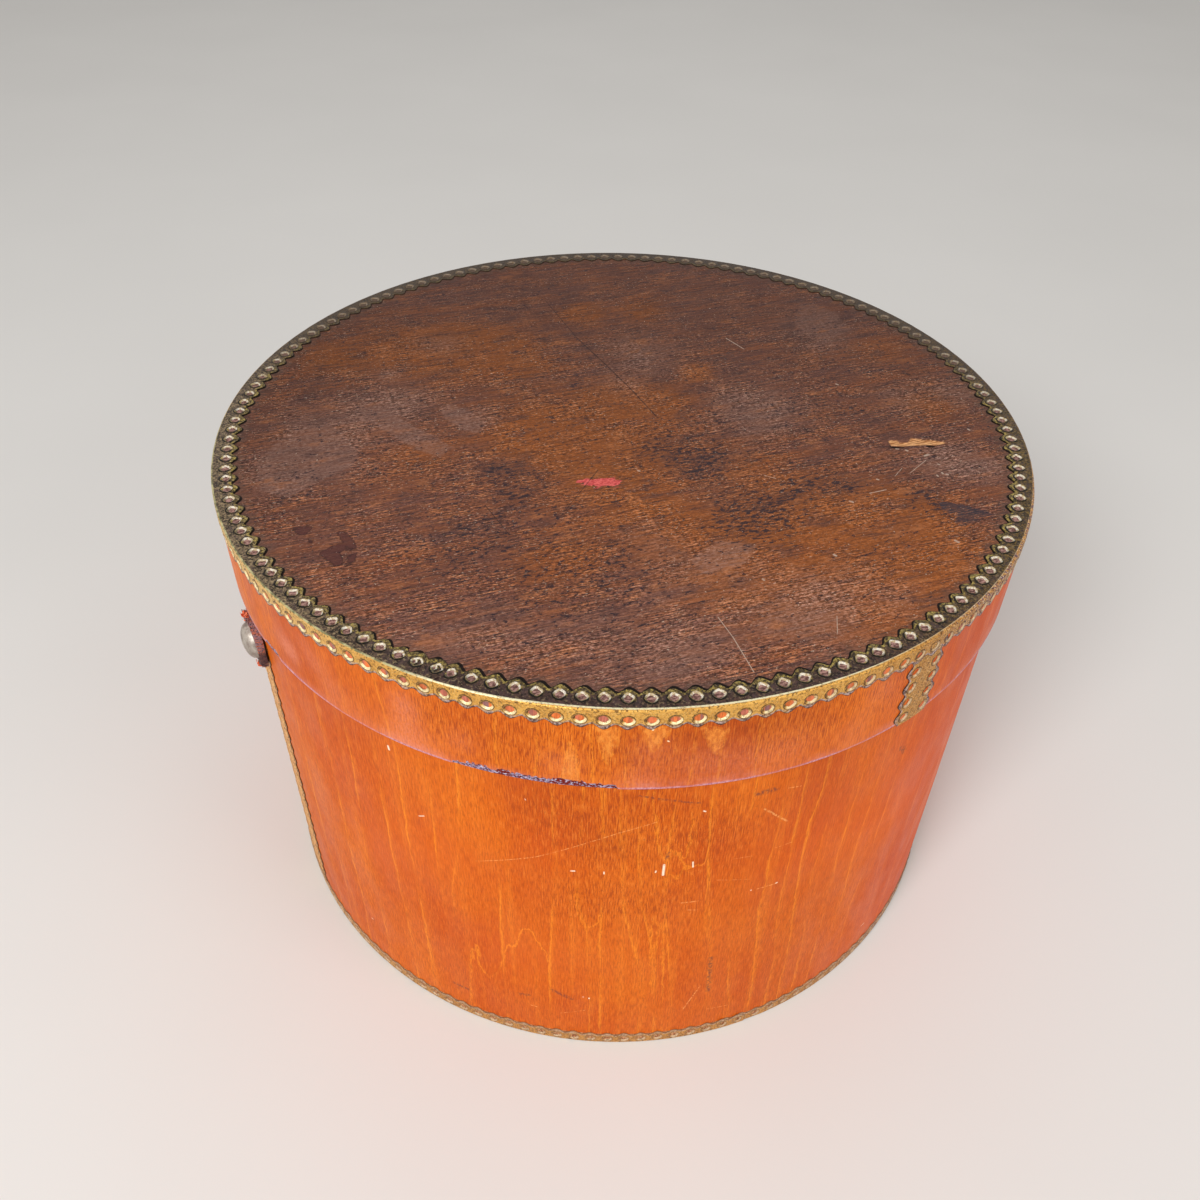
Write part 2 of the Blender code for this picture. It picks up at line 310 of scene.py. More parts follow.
def varnished_ply(name, deep, bright, thickness, figured, rough, marks):
    """Amber varnish over ply with an upright grain; bare ply inside and along the edges."""
    f = Finish(name, specular_ior_level=0.09, coat_weight=0.03, coat_roughness=0.25)
    place = f.place()
    flat = place.scaled(1, 1, 0)
    _, height, depth = place.parts()
    cloud = flat.grain(0.016, 0.008)
    colour = cloud.ramp(0.3, 0.7).mix(deep, bright)
    bands = flat.grain(0.17, 0.006, 3, 0.55)
    colour = colour.coat(
        (bands.ramp(0.5, 0.72, 0, 0.34), (238, 130, 32)),
        (bands.ramp(0.3, 0.5, 0.22, 0), (188, 76, 14)))
    threads = flat.grain(1.3, 0.045, 3, 0.6)
    colour = colour.coat(
        (threads.ramp(0.52, 0.75, 0, 0.2), (244, 138, 44)),
        (threads.ramp(0.28, 0.48, 0.2, 0), (172, 62, 12)))

    gap = f.mark("gap")
    sway = flat.grain(0.22, 0.06, 3, 0.6)
    sway = (sway * 3 - 1.5) / gap
    ring = (f.mark("figure") + sway).math("FRACT")
    right = ring * gap
    left = gap - right
    jagged = flat.grain(0.45, 0.16, 3, 0.65)
    arch = f.mark("arch") + sway * gap
    arch = abs(arch + (jagged * 5 - 2.5))
    near = left.math("MINIMUM", right).math("MINIMUM", arch)
    core = near.ramp(0.1, 0.9, 0.75, 0)
    glow = right.ramp(0, 3, 1, 0) * 0.28
    shown = flat.grain(0.06, 0.016).ramp(0.38, 0.6, 0.1 * figured, figured)
    line = core.math("MAXIMUM", glow) * shown
    colour = line.mix(colour, (250, 146, 34))

    pores = flat.grain(1.75, 0.15, 3, 0.65)
    specks = flat.grain(1.3, 0.35, 2, 0.6)
    busy = f.mark("tone").ramp(0.3, -0.55, 0.45 * rough, 1.15 * rough)
    dark = pores.ramp(0.5, 0.6) * busy
    colour = (dark * 0.6).mix(colour, (160, 62, 12))
    light = pores.ramp(0.36, 0.46, 0.38, 0) * busy
    colour = light.mix(colour, (250, 150, 58))
    specked = specks.ramp(0.58, 0.68, 0, 0.42) * busy
    colour = specked.mix(colour, (150, 56, 20))
    colour = colour.shade(f.mark("tone") * 0.15 + 0.98)
    sideways = f.here().parts()[0]
    colour = sideways.ramp(80, 180, 0, 0.42).mix(colour, (234, 70, 22))
    # Painted shade: darker towards the top of the wall, under the lid's rim; the rim lies wholly above
    # that height and is darkened this way all over.
    upper_shade = height.ramp(168, 214) * cloud.ramp(0.3, 0.6, 1, 0.3)
    colour = (upper_shade * 0.3).mix(colour, (170, 70, 16))
    colour = marks(f, flat, height, colour)

    layers = (depth * (TAU / thickness * 1.5)).math("SINE")
    bare = place.scaled(0.9, 0.05, 4).noise(1, 3)
    ply = bare.mix((176, 128, 78), (214, 172, 118))
    edge = layers.ramp(-0.4, 0.4).mix((120, 72, 40), (196, 148, 96))
    ply = depth.ramp(thickness - 0.25, thickness - 0.02).mix(edge, ply)
    colour = depth.ramp(0.45, 0.8).mix(colour, ply)
    f.set(base_color=colour)
    gloss = flat.grain(0.06, 0.03).ramp(0.3, 0.7, 0.36, 0.52)
    f.set(roughness=gloss.math("ADD", depth.ramp(0.3, 0.8, 0, 0.3), clamp=True))
    relief = threads - pores * 0.6
    f.bump(relief, 0.00015, 0.6)
    return f.material


def arc_point(pixel, radius, joint):
    """A pixel's place on a wall, as (length round from the joint, height)."""
    azimuth, height = on_wall(pixel, radius)
    return math.radians((azimuth - joint) % 360) * radius, height


WALL_SCRATCHES = (
    ((476, 861), (535, 857), 0.35), ((535, 857), (590, 842), 0.3), ((590, 842), (619, 833), 0.3),
    ((619, 833), (657, 822), 0.3), ((765, 809), (787, 821), 0.75), ((789, 788), (801, 786), 0.45),
    ((757, 889), (777, 883), 0.5), ((681, 903), (698, 901), 0.55), ((688, 910), (698, 910), 0.45),
    ((716, 880), (750, 879), 0.25), ((531, 1005), (538, 1007), 0.6), ((561, 1013), (586, 1010), 0.35),
    ((733, 859), (752, 856), 0.25), ((775, 848), (792, 842), 0.25), ((707, 1009), (727, 1005), 0.3),
    ((683, 1009), (700, 986), 0.55),
)
WALL_NICKS = (
    ((664.2, 865), (663, 875), 0.75), ((571, 871), (574.5, 871), 0.55), ((604, 872), (604, 874), 0.4),
    ((693, 862), (693, 867), 0.5), ((704, 811), (705.5, 811.5), 0.55), ((388, 746), (389, 749.5), 0.7),
    ((656, 871), (655.5, 872.5), 0.45), ((751, 890), (751, 890.5), 0.45),
    ((589, 998), (589, 998.7), 0.5), ((583, 997), (583.5, 997), 0.4), ((776, 883), (777, 882.5), 0.55),
    ((331, 695), (331, 696.5), 0.5), ((419, 816), (424, 816), 0.35), ((525, 799), (525.5, 800), 0.3),
    ((372, 918), (373, 919), 0.45), ((861, 926), (864, 923), 0.4),
)
WALL_STAINS = (
    ((711, 958), (708, 990), 2.2), ((757, 794), (776, 789), 2.4), ((901, 748), (904, 751), 2.6),
    ((552, 990), (572, 999), 2.0), ((455, 983), (468, 989), 1.8), ((520, 994), (530, 995), 1.8),
    ((669, 853), (667, 858), 1.4), ((640, 796), (700, 803), 1.0),
)


def wall_marks(_, flat, height, colour):
    """The wall's stains, scratches and nicks, and the pale wood in the holes at its foot."""

    def drawn(marks, colour, tint, strength, soft):
        for start, end, width in marks:
            ends = [arc_point(pixel, WALL_RADIUS, BODY_JOINT) for pixel in (start, end)]
            mask = flat.streak(*ends, width, soft)
            colour = (mask * strength).mix(colour, tint)
        return colour

    ragged = flat.grain(0.9, 0.5)
    bare = ragged.ramp(0.4, 0.6).mix((202, 158, 116), (120, 82, 58))
    colour = height.ramp(8.6, 8.2, 0, 0.8).mix(colour, bare)
    colour = drawn(WALL_STAINS, colour, (104, 58, 50), ragged.ramp(0.35, 0.65, 0, 0.8), 0)
    colour = drawn(WALL_SCRATCHES, colour, (250, 178, 104), ragged.ramp(0.4, 0.58, 0.05, 0.6), 0.3)
    return drawn(WALL_NICKS, colour, (246, 226, 200), ragged.ramp(0.3, 0.5, 0.5, 1), 0.4)


# Broken veneer along the rim's lower edge as (left, right, height in mm, redness). The first one,
# beside the left strap, is a painted shadow under the lip, drawn as broken veneer.
RIM_CHIPS = (
    (266, 280, 4.2, 0.0), (451, 472, 2.9, 0.0), (464, 492, 4.2, 0.1), (484, 502, 3.4, 0.2),
    (495, 512, 4.6, 1.0), (506, 560, 4.0, 0.15), (550, 588, 4.6, 0.9), (582, 606, 3.8, 0.7),
    (598, 619, 3.0, 0.2),
)
# Dark wood in some of the holes
HOLE_STAINS = (
    ((573, 743), 3.4, 1.6), ((592, 745), 3.4, 1.0), ((611, 744), 3.4, 1.7), ((632, 741), 3.4, 1.6),
    ((884, 661), 3.4, 1.0),
)
# Pale patches on the rim, partly worn by rubbing and partly painted sheen, as (pixel, radius in mm,
# strength)
RIM_RUBS_AND_SHEEN = (
    ((975, 655), 5, 1.1), ((962, 670), 5, 1.0), ((988, 632), 5, 0.9), ((290, 650), 6, 1.4),
    ((403, 705), 7, 0.9), ((406, 728), 9, 0.9), ((399, 742), 8, 0.7), ((430, 757), 10, 0.7),
    ((313, 662), 7, 0.6), ((332, 690), 8, 0.5), ((300, 640), 6, 0.5), ((460, 742), 7, 0.4),
    ((560, 765), 9, 0.4), ((520, 700), 6, 0.3), ((650, 752), 9, 0.4), ((700, 765), 12, 0.5),
    ((745, 762), 12, 0.5), ((790, 752), 12, 0.5), ((884, 690), 9, 0.6), ((640, 783), 9, 0.7),
    ((360, 722), 9, 0.5), ((282, 640), 9, 0.5), ((850, 735), 10, 0.4),
)


def rim_marks(f, flat, height, colour):
    """The rim's rubs with painted sheen, its flames, the wood in its brass's holes, and its chipped
    lower lip with a painted highlight.
    """
    tone = flat.grain(0.13, 0, 1)
    other = flat.grain(0.17, 0, 2)
    torn = flat.grain(0.5, 0.25, 3, 0.7)
    flame = torn * 5 + f.mark("arch")
    flame = flame.ramp(3.4, 0.4, 0, 0.8) * torn.ramp(0.38, 0.58, 1, 0.45)
    colour = flame.mix(colour, (236, 146, 58))
    bared = tone.ramp(0.44, 0.54).mix((192, 112, 94), (226, 120, 62))
    bared = bared.coat(
        (other.ramp(0.54, 0.6), (142, 104, 106)),
        (f.mark("stain").math("MULTIPLY", 1, clamp=True), (96, 38, 30)))
    veins = flat.grain(1.1, 0.12, 2, 0.6)
    bared = bared.shade(veins.ramp(0.4, 0.62, 1.12, 0.72))
    band = height.ramp(250.6, 251.2) * height.ramp(255.6, 256.2, 1, 0)
    colour = (band * 0.9).mix(colour, bared)
    nicks = (((654, 727), (653, 730), 0.5), ((668, 741), (669, 741.5), 0.4))
    for start, end, width in nicks:
        ends = [arc_point(pixel, RIM_RADIUS, LID_JOINT) for pixel in (start, end)]
        colour = flat.streak(*ends, width).mix(colour, (245, 220, 180))
    # Pale pink patches, partly worn by rubbing and partly painted sheen
    rub = flat.grain(0.9, 0.6, 3, 0.6)
    rub_and_highlight = f.mark("rub").math("MULTIPLY", rub.ramp(0.3, 0.7, 0.4, 1), clamp=True)
    colour = (rub_and_highlight * 0.4).mix(colour, (232, 146, 118))
    patch = flat.grain(0.05, 0.03)
    # A pinkish painted highlight along the rim's foot, fading upwards
    foot = height.ramp(RIM_FOOT + 1, RIM_FOOT + 8, 1, 0) * patch.ramp(0.4, 0.62, 0.12, 0.6)
    colour = (foot * rub.ramp(0.3, 0.7, 0.5, 1)).mix(colour, (222, 136, 116))
    # Painted highlight along the rounded lower lip, lilac, reaching higher towards the left and right
    sideways = f.here().parts()[0]
    wider = sideways.ramp(-110, -160, 0, 1.3) + sideways.ramp(110, 160, 0, 0.8)
    lip = (height - wider).ramp(RIM_FOOT + 1.2, RIM_FOOT + 2.4, 1, 0)
    lip_highlight_tint = rub.ramp(0.4, 0.6).mix((172, 112, 138), (214, 164, 174))
    colour = (lip * patch.ramp(0.38, 0.58, 0.45, 0.9)).mix(colour, lip_highlight_tint)

    ragged = flat.grain(0.9, 1.5, 3, 0.65)
    fine = flat.grain(0.6, 0.9, 3, 0.7)
    broken = ragged.ramp(0.44, 0.56).mix((38, 28, 38), (172, 150, 180))
    red = f.mark("rust") * 0.12 + fine
    broken = broken.coat(
        (red.ramp(0.56, 0.6), (112, 24, 10)),
        (fine.ramp(0.38, 0.44, 0.9, 0), (206, 198, 220)))
    shown = f.mark("chipped") + ragged * 0.35
    return shown.ramp(0.45, 0.6).mix(colour, broken)


# Darker and lighter parts of the wall as (pixel, radius in mm, strength)
WALL_TONES = (
    ((610, 845), 14, -0.8), ((555, 810), 20, -0.5), ((700, 835), 20, -0.5), ((640, 800), 18, -0.5),
    ((590, 900), 20, -0.4), ((660, 900), 20, -0.3), ((430, 850), 22, 0.4), ((520, 955), 26, 0.3),
    ((380, 850), 20, 0.3), ((800, 850), 22, 0.5), ((860, 830), 26, 0.7), ((905, 800), 20, 0.7),
)
RIM_TONES = (
    ((640, 745), 16, -0.8), ((700, 740), 18, -0.9), ((600, 750), 14, -0.3), ((545, 745), 18, -0.5),
    ((480, 730), 18, -0.4), ((430, 715), 14, -0.4), ((760, 725), 16, -1.0), ((810, 715), 16, -0.8),
    ((900, 670), 16, -0.8),
)


# Lines of the wall's figure, from left to right, each through listed pixels
WALL_FIGURE = (
    ((352, 760), (366, 850), (384, 920)),
    ((376, 765), (392, 850), (410, 930)),
    ((398, 770), (410, 850), (428, 940)),
    ((428, 775), (436, 850), (444, 905), (451, 936)),
    ((458, 790), (459, 841), (453, 877), (451, 887), (456, 950)),
    ((494, 790), (496, 838), (499, 874), (501, 920), (504, 970)),
    ((552, 800), (552, 820), (554, 850), (553, 900), (549, 970)),
    ((583, 800), (579, 856), (577, 884), (579, 906), (583, 917), (587, 931), (590, 1000)),
    ((604, 800), (603, 863), (602, 906), (599, 935), (600, 1000)),
    ((620, 794), (621, 862), (624, 909), (632, 943), (640, 969), (640, 1003)),
    ((647, 794), (640, 814), (638, 857), (641, 900), (652, 950), (655, 1003)),
    ((676, 800), (668, 850), (664, 900), (668, 960), (672, 1003)),
    ((712, 800), (708, 857), (708, 883), (705, 917), (707, 934), (711, 953), (706, 1000)),
    ((753, 804), (742, 831), (734, 857), (730, 880), (729, 926), (728, 977), (729, 1003)),
    ((784, 800), (775, 845), (768, 862), (767, 883), (759, 907), (756, 951), (752, 985)),
    ((804, 789), (796, 825), (789, 862), (782, 890), (777, 917), (774, 960)),
    ((823, 789), (809, 823), (804, 849), (799, 874), (795, 900), (788, 950)),
    ((838, 789), (828, 820), (818, 857), (811, 876), (806, 909), (802, 945)),
    ((864, 770), (850, 815), (836, 860), (822, 920)),
    ((884, 760), (868, 810), (852, 860), (838, 915)),
    ((905, 750), (888, 800), (868, 860), (850, 905)),
)
WALL_ARCHES = (
    ((576, 893), (578.6, 916), (583, 923), (588, 929), (593, 927), (598, 923), (602, 910), (602.5, 860),
     (603, 822), (600, 780), (585, 780), (580, 856)),
    ((471, 962), (473, 950), (478, 945), (480, 965), (484, 972), (490, 979), (496, 974), (501, 966),
     (505, 952), (508, 943), (512, 948), (517, 943), (520, 930), (529, 929), (534, 936), (540, 944),
     (546, 953), (550, 965), (553, 1100), (470, 1100)),
    ((665, 880), (667, 866), (671, 848), (676, 852), (683, 862), (690, 868), (705, 864), (707, 858),
     (709, 870), (711, 1100), (660, 1100)),
    ((652, 1000), (650, 950), (651, 928), (655, 915), (658, 928), (657, 950), (655, 955)),
    ((655, 750), (700, 750), (694, 800), (690, 840), (684, 870), (676, 880), (668, 872), (660, 850),
     (654, 800)),
)
RIM_ARCHES = (
    ((593, 726), (598, 740), (603, 755), (607, 765), (612, 755), (618, 742), (623, 728)),
    ((640, 726), (646, 742), (652, 752), (660, 745), (668, 734), (672, 726)),
    ((700, 726), (708, 742), (716, 756), (722, 748), (731, 728)),
    ((556, 800), (566, 752), (570, 741), (576, 754), (582, 800)),
)


def traced_lines(traced, radius, joint):
    """Each traced line as (heights, lengths round), from the foot up."""
    lines = []
    for line in traced:
        points = sorted(arc_point(pixel, radius, joint)[::-1] for pixel in line)
        lines.append(([p[0] for p in points], [p[1] for p in points]))
    return lines


def figure_field(arcs, heights, radius, joint, traced, arches, spacing, seed):
    """Point attributes for the wood's figure: a number that passes a whole value at each line,
    the lines' spacing in mm, and the distance in mm from the nearest arch."""
    rng = random.Random(seed)
    around = TAU * radius
    lines = traced_lines(traced, radius, joint)
    levels = np.unique(heights)
    first = min((min(line[1]) for line in lines), default=0.0)
    last = max((max(line[1]) for line in lines), default=0.0)
    rows = [np.interp(levels, *line) for line in lines]

    def wander(start, stop):
        found = []
        at = start + rng.uniform(*spacing)
        while at < stop - spacing[0]:
            phase = [rng.uniform(0, TAU) for _ in range(3)]
            sway = sum(rng.uniform(0.4, 1.6) * np.sin(levels * k + p)
                       for k, p in zip((0.015, 0.034, 0.06), phase))
            found.append(at + sway)
            at += rng.uniform(*spacing)
        return found

    rows = wander(0.0, first) + rows + wander(last, around) if traced else wander(0.0, around)
    rows = np.maximum.accumulate(np.array(rows) + np.arange(len(rows))[:, None] * 1e-3, axis=0)
    figure, gap = np.empty(len(arcs)), np.empty(len(arcs))
    for k, level in enumerate(levels):
        here = heights == level
        knots = np.concatenate(([-20.0], rows[:, k], [around + 20.0]))
        figure[here] = np.interp(arcs[here], knots, np.arange(len(knots)))
        cell = np.clip(np.searchsorted(knots, arcs[here]), 1, len(knots) - 1)
        gap[here] = np.maximum(knots[cell] - knots[cell - 1], 1.0)
    flat = np.column_stack((arcs, heights))
    arch = np.full(len(arcs), 50.0)
    for outline in arches:
        corners = [arc_point(pixel, radius, joint) for pixel in outline]
        each = signed_gap(flat, corners)
        arch = np.where(abs(each) < abs(arch), each, arch)
    return {"figure": figure, "gap": gap, "arch": arch}


def signed_gap(points, outline):
    """Distance from each point to an outline, below zero inside it."""
    corners = np.array(outline, float)
    nearest = np.full(len(points), 1e9)
    inside = np.zeros(len(points), bool)
    for a, b in zip(corners, np.roll(corners, -1, axis=0)):
        run, far = b - a, points - a
        share = np.clip(far @ run / (run @ run), 0, 1)[:, None]
        nearest = np.minimum(nearest, np.hypot(*(far - share * run).T))
        crosses = (a[1] > points[:, 1]) != (b[1] > points[:, 1])
        rise = b[1] - a[1] if b[1] != a[1] else 1e-9
        inside ^= crosses & (points[:, 0] < a[0] + run[0] * (points[:, 1] - a[1]) / rise)
    return np.where(inside, -nearest, nearest)


def patches(points, spots, find):
    """Soft round patches summed over a set of points."""
    total = np.zeros(len(points))
    for pixel, radius, strength in spots:
        gap = points - np.array(find(pixel))
        total += strength * np.exp(-(gap ** 2).sum(axis=1) / radius ** 2)
    return total


def hoop(name, radius, bore, levels, foot_round, joint, field, material, body, slot, steps,
         chips=()):
    """A strip of ply bent round, with soft edges and its two ends butted at the joint."""
    top, foot = levels[0] + 0.5, levels[-1] - foot_round
    profile = [(radius, z, 0.0) for z in levels]
    for turn in (0.2, 0.4, 0.6, 0.8, 1.0):
        swing = turn * math.pi / 2
        profile.append((radius - foot_round * (1 - math.cos(swing)),
                        foot + foot_round * (1 - math.sin(swing)), 0.4 * turn))
    thick = radius - bore
    profile += [(bore + 0.3, foot, thick - 0.3), (bore, foot + 0.3, thick)]
    profile += [(bore, z, thick) for z in np.linspace(foot + 8, top - 8, 5)]
    profile += [(bore, top - 0.3, thick), (bore + 0.3, top, thick - 0.3)]
    profile += [(radius - thick / 2, top, thick / 2), (radius - 0.5, top, 0.45),
                (radius - 0.15, top - 0.15, 0.2)]
    gap = math.degrees(HALF_JOINT_GAP / radius)
    turns = np.linspace(joint + gap, joint + 360 - gap, steps + 1)
    rng = random.Random(name)
    points, place, chipped, rust = [], [], [], []
    for azimuth in turns:
        reach, red = 0.0, 0.0
        for a, b, tall, redness in chips:
            inside = smooth(azimuth % 360, a, a + 0.4) * (1 - smooth(azimuth % 360, b - 0.4, b))
            if tall * inside > reach:
                reach, red = tall * inside, redness
        reach *= rng.uniform(0.75, 1.1)
        for r, z, depth in profile:
            out = float(1 - smooth(z, foot + reach - 0.5, foot + reach + 0.6)) if reach > 0.3 else 0.0
            out *= depth < 0.5 and r > radius - foot_round - 0.1
            points.append(polar(r - 0.45 * out, azimuth, z))
            place.append((math.radians(azimuth - joint) * radius, z, depth))
            chipped.append(out)
            rust.append(red)
    count = len(profile)
    faces = [(i * count + j, i * count + k, (i + 1) * count + k, (i + 1) * count + j)
             for i in range(steps) for j, k in ((j, (j + 1) % count) for j in range(count))]
    faces.append(tuple(range(count - 1, -1, -1)))
    faces.append(tuple(steps * count + j for j in range(count)))
    place = np.array(place)
    return new_mesh(name, points, faces, material, body, slot, place=place, chipped=chipped,
                    rust=rust, **field(place[:, 0], place[:, 1]))


def lathe(name, profile, steps, material, body, slot, matrix=None):
    """Turn (radius, height) points, listed down the outside, about the Z axis."""
    points, rings = [], []
    for r, z in profile:
        if r < 1e-6:
            rings.append([len(points)] * steps)
            points.append((0.0, 0.0, z))
            continue
        rings.append(list(range(len(points), len(points) + steps)))
        points += [polar(r, 360 * i / steps, z) for i in range(steps)]
    faces = []
    for upper, lower in zip(rings, rings[1:] + rings[:1]):
        for i in range(steps):
            k = (i + 1) % steps
            face = list(dict.fromkeys((upper[i], lower[i], lower[k], upper[k])))
            if len(face) > 2:
                faces.append(face)
    if matrix is not None:
        points = [matrix @ Vector(point) for point in points]
    return new_mesh(name, points, faces, material, body, slot)


def outward(distance, azimuth, height):
    """A matrix that turns +Z to point out of the box at a place on its wall."""
    turn = Matrix.Rotation(math.radians(azimuth), 4, "Z") @ Matrix.Rotation(math.pi / 2, 4, "Y")
    return Matrix.Translation(polar(distance, azimuth, height)) @ turn


def scallop_outline(half, leg, depth, power):
    """Eighteen points round one scallop as (along, out, rise of the scallop or -1 inside it),
    from the base line round by the edge."""
    rise = leg - depth - FOLD_HALF
    points = [(half * share, FOLD_HALF, -1) for share in (-1.0, -0.5, 0.0, 0.5, 1.0)]
    points += [(half, FOLD_HALF + rise * share, -1) for share in (0.35, 0.70)]
    for share in (1.0, 0.80, 0.58, 0.30, 0.0, -0.30, -0.58, -0.80, -1.0):
        bulge = abs(math.cos(math.pi / 2 * share)) ** power
        points.append((half * share, leg - depth * (1 - bulge), bulge))
    points += [(-half, FOLD_HALF + rise * share, -1) for share in (0.70, 0.35)]
    return points


# Rings round a punched hole, as (distance out from its centre, lift of the sheet)
PUNCH_RINGS = ((1.70, -0.42), (1.85, -0.34), (2.15, -0.02),
               (2.45, 0.17), (2.85, 0.12), (3.35, -0.05))
FOLD_ROWS = (-1.2, -0.7, -0.47, -0.23, 0.0, 0.23, 0.47, 0.7, 1.2)
# What plain sheet and the fold say for the distance to a hole and to the scalloped edge
PLAIN_SHEET = 4.4
FOLD_EDGE = 8.0
# The direction of a painted light on the holes: the far side and the lower side of each hole are
# painted lit
PAINTED_LIGHT_SIDE = (0.42, 0.80, -0.75)


def punched_strip(name, count, pitch, legs, place, level, flip, material, body, slot, seed,
                  folded=True, lead=lambda along: 0.0):
    """A punched and scalloped strip, set on the wood by place(along, across, height).

    Each leg is (length, scallop depth, scallop power, squareness of its holes). Lead moves the
    line between the grimy leg and the golden one, in mm.
    """
    rng = random.Random(seed)
    index, flat, lifts, marks, holes, faces = {}, [], [], [], [], []
    half = pitch / 2

    def vertex(along, across, lift, hole, edge, centre=None):
        key = (round(along * 200), round(across * 200))
        if key not in index:
            index[key] = len(flat)
            flat.append((along, across))
            lifts.append(lift)
            side = across + lead(along) if folded else max(abs(across), 1.4)
            marks.append((hole, edge, side))
            holes.append(centre)
        return index[key]

    for cell in range(count):
        middle = (cell + 0.5) * pitch
        for side, (leg, depth, power, corners) in legs.items():
            outline = scallop_outline(half, leg, depth, power)
            row = leg - HOLE_INSET + rng.uniform(-0.15, 0.15)
            shift = rng.uniform(-0.18, 0.18)
            stretch = rng.uniform(0.95, 1.12)
            squeeze = rng.uniform(0.88, 1.04)
            tip = rng.uniform(-0.30, 0.15)
            lean = rng.gauss(0, 0.35)
            oval = rng.uniform(0, TAU)
            square = corners * rng.uniform(0.7, 1.2)
            centre = (middle + shift, side * row)
            rings = []
            for distance, lift in PUNCH_RINGS:
                rough = 1 - float(smooth(distance, 2.1, 3.3))
                ring = []
                for along, out, _ in outline:
                    turn = math.atan2(out - row, along - shift)
                    wobble = 1 + rough * (square * math.cos(4 * turn + lean)
                                          + 0.05 * math.sin(2 * turn + oval))
                    wide, tall = 1 + (stretch - 1) * rough, 1 + (squeeze - 1) * rough
                    across = row + tall * distance * wobble * math.sin(turn)
                    raised = lift + 0.04 * rough * math.cos(turn - oval)
                    ring.append(vertex(middle + shift + wide * distance * wobble * math.cos(turn),
                                       side * across, raised, distance, leg - across, centre))
                rings.append(ring)
            border = []
            for along, out, bulge in outline:
                edging = bulge >= 0
                border.append(vertex(middle + along, side * (out + tip * max(bulge, 0.0)),
                                     -0.12 if edging else 0.0, PLAIN_SHEET,
                                     0.0 if edging else leg - out))
            rings.append(border)
            for inner, outer in zip(rings, rings[1:]):
                for j in range(len(outline)):
                    k = (j + 1) % len(outline)
                    faces.append((inner[j], outer[j], outer[k], inner[k])[::side])
        for low, high in zip(FOLD_ROWS, FOLD_ROWS[1:]):
            for a, b in ((-1.0, -0.5), (-0.5, 0.0), (0.0, 0.5), (0.5, 1.0)):
                corners = ((a, low), (b, low), (b, high), (a, high))
                faces.append(tuple(vertex(middle + half * s, across, 0.0, PLAIN_SHEET, FOLD_EDGE)
                                   for s, across in corners))
    points, under, glint = [], [], []
    for (along, across), lift, centre in zip(flat, lifts, holes):
        low, high = level(along, across)
        ripple = 0.03 * math.sin(along * 0.61) * math.sin(along * 0.173 + across * 0.4)
        rise = high + (lift + ripple) * (high - low) / (SHEET_TOP - SHEET_FOOT)
        points.append(place(along, across, max(rise, low + 0.04)))
        under.append(place(along, across, low))
        # How far each point round a hole faces the painted light
        out = Vector(place(along, across, 0.0)) - Vector(place(*centre, 0.0)) if centre else None
        glint.append(out.normalized().dot(PAINTED_LIGHT_SIDE) if centre else 0.0)
    edges = {}
    for face in faces:
        for a, b in zip(face, face[1:] + face[:1]):
            edges[a, b] = True
    size = len(points)
    rims = [(b, a, a + size, b + size) for a, b in edges if (b, a) not in edges]
    faces = faces + [tuple(v + size for v in reversed(face)) for face in faces] + rims
    if flip:
        faces = [face[::-1] for face in faces]
    return new_mesh(name, points + under, faces, material, body, slot, sharp=50.0,
                    punch=np.array(marks + marks), glint=glint + glint)


def over_edge(radius, edge, facing, start, slip=lambda along: 0.0):
    """Maps strip space over a round wooden edge; the flat leg has across below zero."""
    middle = radius - CORNER_RADIUS
    level = edge - facing * CORNER_RADIUS

    def place(along, across, height):
        azimuth = start + math.degrees(along / radius)
        azimuth += slip(along) * float(smooth(-across, CORNER_REACH, 4.0))
        if across <= -CORNER_REACH:
            return polar(middle + across + CORNER_REACH, azimuth, edge + facing * height)
        if across >= CORNER_REACH:
            return polar(radius + height, azimuth, level - facing * (across - CORNER_REACH))
        turn = (across / CORNER_REACH + 1) * math.pi / 4
        out = CORNER_RADIUS + height
        return polar(middle + out * math.sin(turn), azimuth, level + facing * out * math.cos(turn))

    return place


def binding_level(radius, start, pitch, count, joint):
    """The sheet's lower and upper face above the wood, with its lapped ends and the joint."""
    length = pitch * count

    def level(along, across):
        over = float(smooth(along, length - 2.6 * pitch, length - 1.4 * pitch))
        under = 1 - float(smooth(along, 2.1 * pitch, 3.0 * pitch))
        swing = (start + math.degrees(along / radius) - joint + 180) % 360 - 180
        crossing = 1 - float(smooth(abs(math.radians(swing) * radius), 11.5, 15.0))
        over = max(over, crossing * float(smooth(across, 2.0, 4.0)))
        return SHEET_FOOT + LAP_LIFT * over, SHEET_TOP - THINNING * under + LAP_RISE * over

    return level


def upright_strip(name, radius, joint, foot, count, pitch, squeezed, material, body, slot, seed):
    """A flat strip up a joint in the ply, thinned where a binding crosses it."""

    def place(along, across, height):
        return polar(radius + height, joint - math.degrees(across / radius), foot + along)

    def level(along, across):
        return SHEET_FOOT, SHEET_TOP - THINNING * float(squeezed(foot + along))

    leg = (STRIP_LEG, 2.7, 1.7, 0.06)
    return punched_strip(name, count, pitch, {-1: leg, 1: leg}, place, level, False,
                         material, body, slot, seed, folded=False)


def lid_slip(along):
    """How far the holes of the lid's flat leg run ahead of those of its side leg, in degrees."""
    return 0.30 * PITCH_ANGLE * float(smooth(along, 60 * LID_PITCH, 120 * LID_PITCH))


def lid_lead(along):
    """How far in from the fold the golden leg's colour starts, in mm."""
    return 0.9 * float(smooth(along, 4 * LID_PITCH, 8 * LID_PITCH)
                       - smooth(along, 36 * LID_PITCH, 44 * LID_PITCH))


